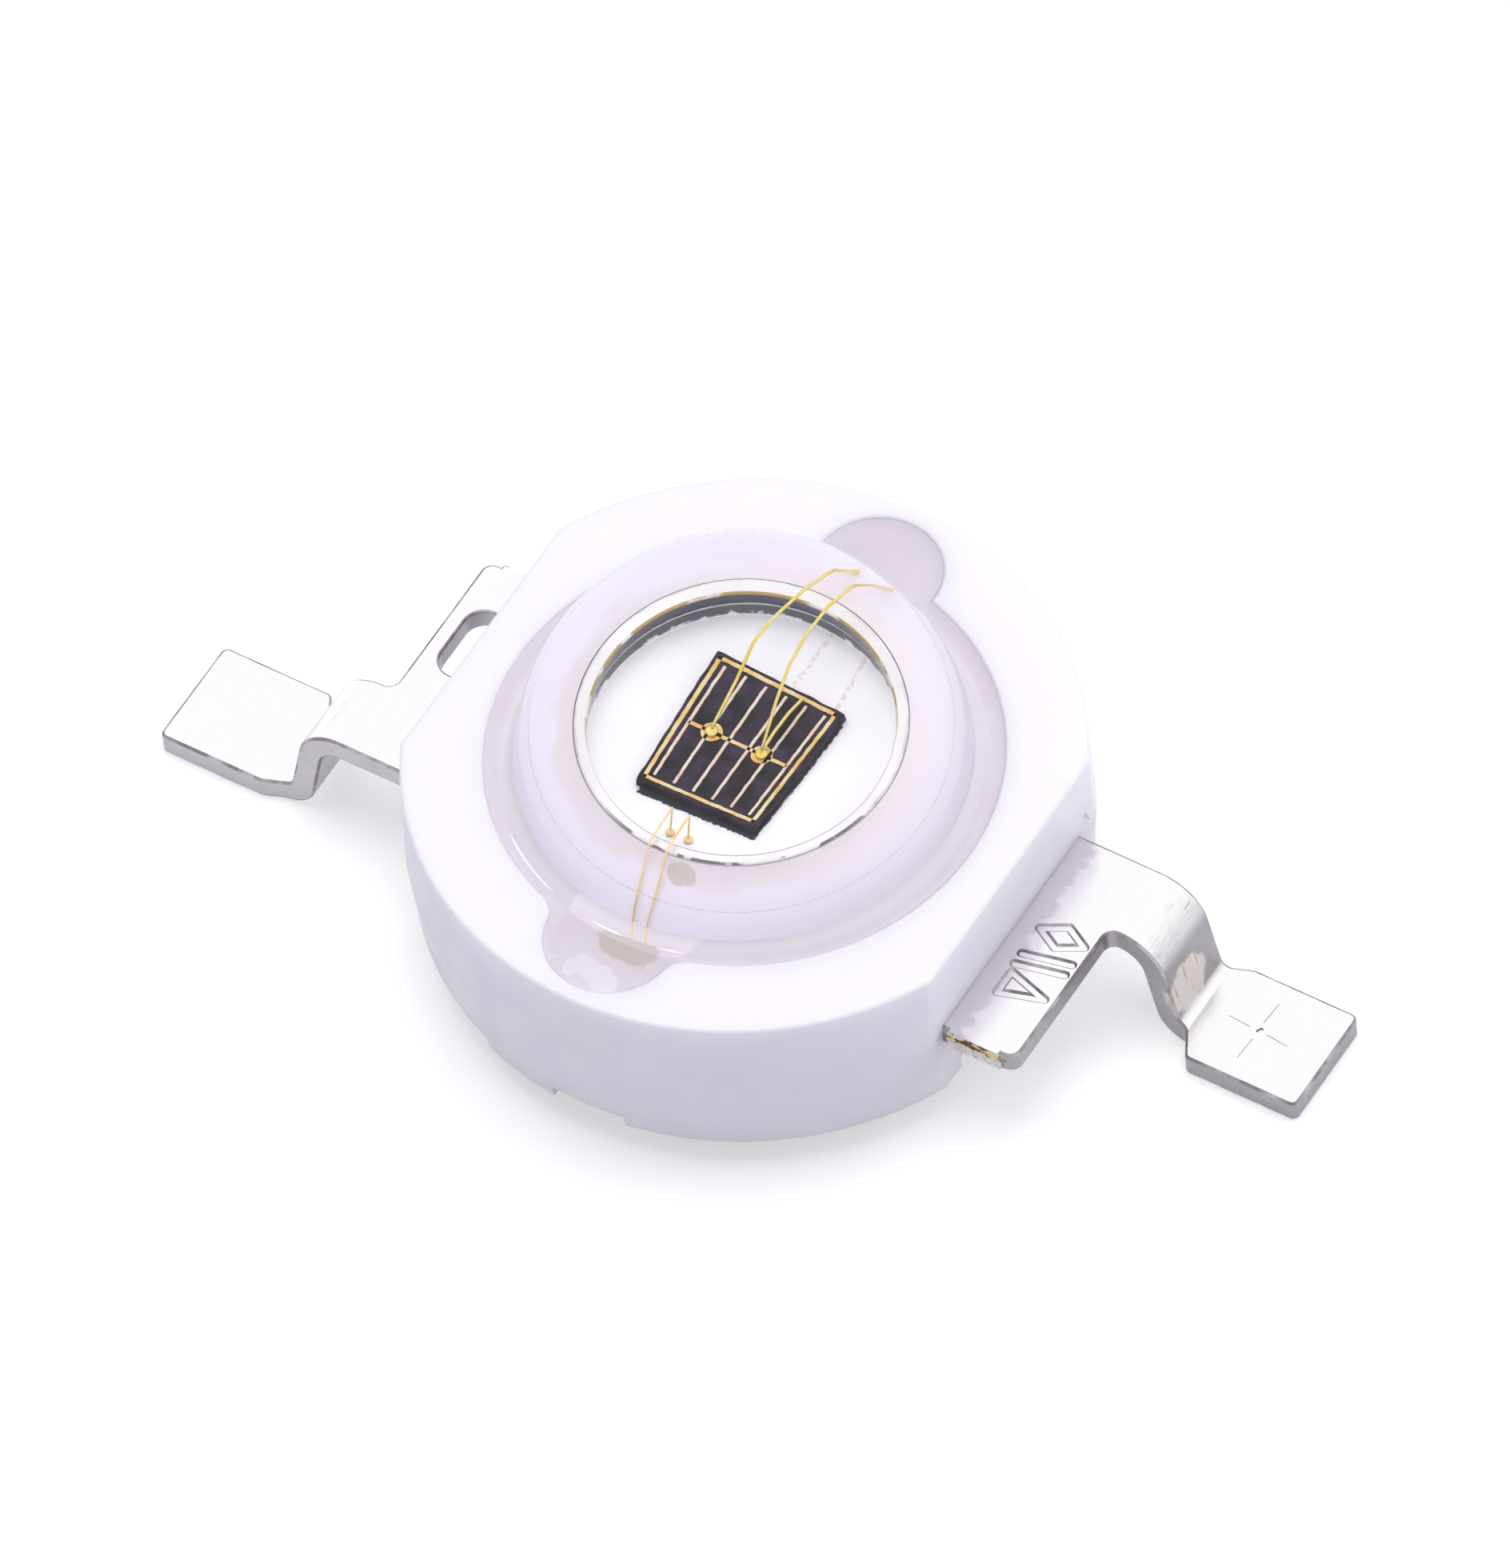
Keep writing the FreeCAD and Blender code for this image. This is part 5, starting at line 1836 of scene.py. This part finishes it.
    def build(self, chip: Chip, slug: HeatSlug, palette: Palette) -> list[Shape]:
        """Builds and dresses the wires."""
        tree = self.tree()
        pieces = []
        for wire in self.wires(chip, slug):
            values = {
                "Wire Diameter": wire.diameter, "Corner Radius": wire.corner,
                "Ball Diameter": self.ball_diameter if wire.kind is BondKind.CHIP else self.cup_ball,
                "Ball Height": self.ball_height,
                "Stitch Length": self.stitch[0], "Stitch Width": self.stitch[1],
                "Material": palette.gold_wire if wire.kind is BondKind.CHIP else palette.gold_thin,
            }
            shapes = [grown("gold_" + wire.name, tree, values, [wire.points])]
            if wire.tail:
                values.update({size: wire.diameter for size in (
                    "Ball Diameter", "Ball Height", "Stitch Length", "Stitch Width",
                )})
                shapes.append(grown("gold_" + wire.name + "_tail", tree, values, [wire.tail]))
            pieces += [deliver(shape, [wire.name], crease=60) for shape in shapes]
            LOG.info("%s starts on the %s", wire.name, wire.kind.value)
        return pieces


@dataclass
class DomeLens:
    """The clear dome: a hemispherical shell on a flat flange."""

    radius: float = 2.69
    wall: float = 0.42
    skirt: float = 0.32
    flange_lip: float = 0.13
    flange_height: float = 0.30
    contact: float = 0.455

    def __post_init__(self) -> None:
        """Reads the seat's height from the frame."""
        self.seat = cad_span("dome_lens")[0].z

    @property
    def bore(self) -> float:
        """The inner radius."""
        return self.radius - self.wall

    @property
    def centre(self) -> float:
        """The height of both balls' centre."""
        return self.seat + self.skirt

    def quarter(self, radius: float) -> list[Point]:
        """A quarter circle of the section, from the axis down to the skirt."""
        return arc((0, self.centre), radius, 90, 0, 64)

    def solid(self) -> Shape:
        """The lens's solid."""
        lip = self.radius + self.flange_lip
        top = self.seat + self.flange_height
        profile = self.quarter(self.radius)
        profile += [(self.radius, top), (lip, top), (lip, self.seat), (self.bore, self.seat)]
        profile += self.quarter(self.bore)[::-1]
        profile[0] = (0.0, profile[0][1])
        profile[-1] = (0.0, profile[-1][1])
        return lathe("clear_dome", profile)

    def build(self, palette: Palette) -> Shape:
        """Builds and dresses the lens."""
        shape = self.solid()
        middle = Vector((0, 0, self.centre))
        inside = (self.radius + self.bore) / 2

        def side(centre: Vector, normal: Vector) -> int:
            """0 on the free dome, 1 where it is bonded inside, 2 on its seat, 3 round its foot."""
            out = math.hypot(centre.x, centre.y)
            if normal.z < -0.9 and centre.z < self.seat + 0.01:
                return 2
            if out > inside and normal.z < 0.5 and centre.z < self.seat + self.contact:
                return 3
            free = (centre - middle).length > inside and centre.z > self.seat + self.contact
            return 0 if free and normal.z > -0.01 else 1

        finishes = [palette.lens, palette.lens_bond, palette.milk, palette.lens_foot]
        return deliver(shape, ["dome_lens"], finishes, choose=side)


@dataclass
class SiliconeFill:
    """The silicone under and around the lens, with its free skin in the ring and the pockets."""

    plan: WellPlan
    drop: float = 0.055
    gap: float = 0.006
    rim_gap: float = 0.0015
    wall_rise: float = 0.03
    dome_rise: float = 0.04
    fade: float = 0.055
    steps: int = 14

    def skin(self, top: float, radius: float) -> list[list[Vector]]:
        """Loops of the free skin, from the dome out to the well's wall."""
        inner = self.plan.shadow(-self.gap, radius)
        outer = self.plan.outline(-self.rim_gap)
        loops = []
        for step in range(self.steps + 1):
            share = 0.5 - 0.5 * math.cos(math.pi * step / self.steps)
            loop = []
            for (ix, iy), (ox, oy) in zip(inner, outer):
                length = math.hypot(ox - ix, oy - iy)
                rise = self.wall_rise * math.exp(-(1 - share) * length / self.fade)
                rise += self.dome_rise * math.exp(-share * length / self.fade)
                loop.append(Vector((ix + (ox - ix) * share, iy + (oy - iy) * share, top - self.drop + rise)))
            loops.append(loop)
        return loops

    def build(self, housing: Housing, lens: DomeLens, slug: HeatSlug, palette: Palette) -> list[Shape]:
        """Builds and dresses the silicone."""
        seat = housing.top - housing.seat_depth + self.gap
        floor = housing.top - housing.seat_depth - housing.floor_drop + self.gap
        skin = self.skin(housing.top, lens.radius - self.gap)
        lip = self.plan.shadow(-self.gap, lens.radius + lens.flange_lip + self.gap)
        flange = lens.seat + lens.flange_height + self.gap
        under = [[Vector((v.x, v.y, seat)) for v in skin[-1]], lifted(lip, seat), lifted(lip, flange)]
        under.append([Vector((v.x, v.y, flange)) for v in skin[0]])
        fill = loft("clear_filling", skin + under, ring=True)
        inner_radius = lens.bore - self.gap
        cavity = self.plan.cavity_radius - self.gap
        inner = lathe("inner", lens.quarter(inner_radius) + [
            (inner_radius, seat), (cavity, seat - self.gap),
            (self.plan.floor_radius - self.gap, floor), (0, floor),
        ], 192)
        combine(fill, inner, "UNION")
        for side in (-1, 1):
            outline = self.plan.pocket_outline(side, self.gap)
            low, high = housing.pocket_floor + self.gap, floor - self.gap
            combine(fill, prism("column", outline, low, high), "UNION")
        combine(fill, slug.bed(self.gap))
        haze = self.haze(lens, slug, seat, palette)

        def side(centre: Vector, normal: Vector) -> int:
            """0 on the free skin, 1 where the silicone is bonded, 2 on the cavity's slope."""
            out = math.hypot(centre.x, centre.y)
            if normal.z > 0.3 and out > lens.radius - 0.05 and centre.z > seat + 0.2:
                return 0
            return 2 if normal.z < -0.1 and floor + 0.002 < centre.z < seat and out < cavity + 0.01 else 1

        finishes = [palette.fill_top, palette.fill_bond, palette.milk]
        return [haze, deliver(fill, ["silicone_fill"], finishes, choose=side)]

    def haze(self, lens: DomeLens, slug: HeatSlug, seat: float, palette: Palette) -> Shape:
        """The milky layer in the silicone, which slopes from the slug's rim down to the lens's foot."""
        inner, outer = slug.stem_radius + 0.008, lens.bore - 0.02
        slope = [(inner, slug.rim - 0.03), (inner + 0.14, slug.rim - 0.20), (outer, seat + 0.035)]
        under = [(x, y - 0.008) for x, y in slope]
        layer = lathe("milky_layer", under + slope[::-1] + under[:1], 160)
        return deliver(layer, ["silicone_fill"], [palette.milk])


@dataclass
class LeadPair:
    """Both leads, with the slot in the left one and the marks on the right one."""

    right: GullWingLead = field(default_factory=lambda: GullWingLead("right_lead", False))
    left: GullWingLead = field(default_factory=lambda: GullWingLead("left_lead", True))
    marks: Marks = field(default_factory=Marks)

    def build(self, palette: Palette) -> list[Shape]:
        """Builds and dresses both leads."""
        pieces = []
        for seed, lead in enumerate((self.right, self.left)):
            shape = lead.blank(lead.name + "_sheet")
            if lead.turned:
                combine(shape, lead.slot())
            plating = palette.lead_left if lead.turned else palette.lead_right
            shape.data.materials.clear()
            shape.data.materials.append(plating)
            shape.data.materials.append(palette.lead_edge)
            # The roundings take the dark grey of painted shade.
            soften(shape, lead.edge, 1)
            tear = lead.tear(seed)
            tear.data.materials.append(palette.sheared)
            combine(shape, tear)
            if not lead.turned:
                finishes = (plating, palette.groove)
                for groove in self.marks.ear_grooves():
                    groove.press(shape, lead.plate_top, finishes)
                for groove in self.marks.foot_grooves():
                    groove.press(shape, lead.thickness, finishes)
            lead.turn(shape)
            pieces.append(deliver(shape, [lead.name]))
        return pieces


# Studio

@dataclass(frozen=True)
class Lamp:
    """A soft lamp: where it stands, its size in metres and how bright it makes a white face."""

    name: str
    direction: Place
    distance: float
    size: float
    level: float
    colour: Colour = (1.0, 1.0, 1.0)


@dataclass
class Studio:
    """Camera, floor, surroundings and lamps."""

    azimuth: float = 35.42
    elevation: float = 53.29
    roll: float = -5.5
    distance: float = 318.13
    target: Place = (0.343, -0.325, 2.68)
    lens: float = 631.78
    sensor: float = 36.0
    ambient: float = 0.54
    ambient_colour: Colour = (0.93, 0.93, 1.0)
    floor_size: float = 3.0
    floor_gap: float = 0.002
    floor_colour: Colour = (0.74, 0.74, 0.74)
    floor_lift: float = 0.40
    lamps: tuple[Lamp, ...] = (
        Lamp("top_lamp", (-0.12, 0.12, 1.0), 0.5, 0.45, 0.585, (1.0, 0.985, 0.99)),
        Lamp("right_lamp", (1.0, 1.1, 0.5), 0.6, 0.35, 0.30),
    )

    def place_camera(self) -> None:
        """Sets the camera to the reference view."""
        a, e, r = (math.radians(v) for v in (self.azimuth, self.elevation, self.roll))
        back = Vector((math.sin(a) * math.cos(e), -math.cos(a) * math.cos(e), math.sin(e)))
        right = Vector((math.cos(a), math.sin(a), 0))
        up = back.cross(right)
        across = math.cos(r) * right + math.sin(r) * up
        above = math.cos(r) * up - math.sin(r) * right
        data = bpy.data.cameras.new("camera")
        data.sensor_fit = "VERTICAL"
        data.sensor_height = self.sensor
        data.lens = self.lens
        data.clip_start = 0.01
        data.clip_end = 10.0
        camera = placed("camera", data)
        turn = Matrix((across, above, back)).transposed().to_4x4()
        camera.matrix_world = Matrix.Translation((Vector(self.target) + back * self.distance) * MM) @ turn
        bpy.context.scene.camera = camera

    def floor_material(self) -> Material:
        """A matt pale floor that is lifted to white where nothing shades it."""
        material = bpy.data.materials.new("studio_floor")
        graph = bare_graph(material)
        matt = graph.add("ShaderNodeBsdfDiffuse", {"Color": self.floor_colour})
        glow = graph.add("ShaderNodeEmission", {"Strength": graph.times(seen_rays(graph), self.floor_lift)})
        total = graph.add("ShaderNodeAddShader", {0: matt.outputs[0], 1: glow.outputs[0]})
        graph.add("ShaderNodeOutputMaterial", {"Surface": total.outputs[0]})
        return material

    def lay_floor(self) -> None:
        """Lays the floor just under the part."""
        half = self.floor_size / 2
        mesh = bpy.data.meshes.new("studio_floor")
        level = -self.floor_gap * MM
        corners = [(x, y, level) for x, y in ((-half, -half), (half, -half), (half, half), (-half, half))]
        mesh.from_pydata(corners, [], [(0, 1, 2, 3)])
        mesh.materials.append(self.floor_material())
        placed("studio_floor", mesh)

    def surround(self) -> None:
        """A soft ambient light, and a white studio to be seen and mirrored."""
        world = bpy.data.worlds.new("studio_world")
        graph = bare_graph(world)
        shown = graph.add("ShaderNodeBackground", {"Color": (1.0, 1.0, 1.0), "Strength": 1.0})
        soft = graph.add("ShaderNodeBackground", {"Color": self.ambient_colour, "Strength": self.ambient})
        both = graph.mix(seen_rays(graph), soft.outputs[0], shown.outputs[0])
        graph.add("ShaderNodeOutputWorld", {"Surface": both})
        bpy.context.scene.world = world

    def hang_lamps(self) -> None:
        """Hangs the soft lamps."""
        for lamp in self.lamps:
            data = bpy.data.lights.new(lamp.name, "AREA")
            data.shape = "DISK"
            data.size = lamp.size
            data.energy = lamp.level * math.pi ** 2 * lamp.distance ** 2
            data.color = lamp.colour
            holder = placed(lamp.name, data)
            way = Vector(lamp.direction).normalized()
            turn = way.to_track_quat("Z", "Y").to_matrix().to_4x4()
            holder.matrix_world = Matrix.Translation(way * lamp.distance) @ turn
            holder.visible_camera = False
            holder.visible_glossy = False
            holder.visible_transmission = False

    def build(self) -> None:
        """Sets up the whole studio."""
        bpy.context.scene.view_settings.view_transform = "Standard"
        self.place_camera()
        self.lay_floor()
        self.surround()
        self.hang_lamps()


def main() -> None:
    """Builds the studio and every sub-assembly in order."""
    logging.basicConfig(level=logging.INFO, format="%(name)s: %(message)s")
    Studio().build()
    palette = Palette()
    leads = LeadPair()
    slug = HeatSlug()
    housing = Housing()
    lens = DomeLens()
    chip = Chip(floor=slug.cup_floor)
    pieces = leads.build(palette)
    pieces.append(housing.build((leads.right, leads.left), slug, palette))
    pieces.append(slug.build(palette))
    pieces += chip.build(palette)
    pieces += BondWires().build(chip, slug, palette)
    pieces.append(lens.build(palette))
    pieces += SiliconeFill(housing.plan).build(housing, lens, slug, palette)
    LOG.info("%d pieces", len(pieces))


if __name__ == "__main__":
    main()
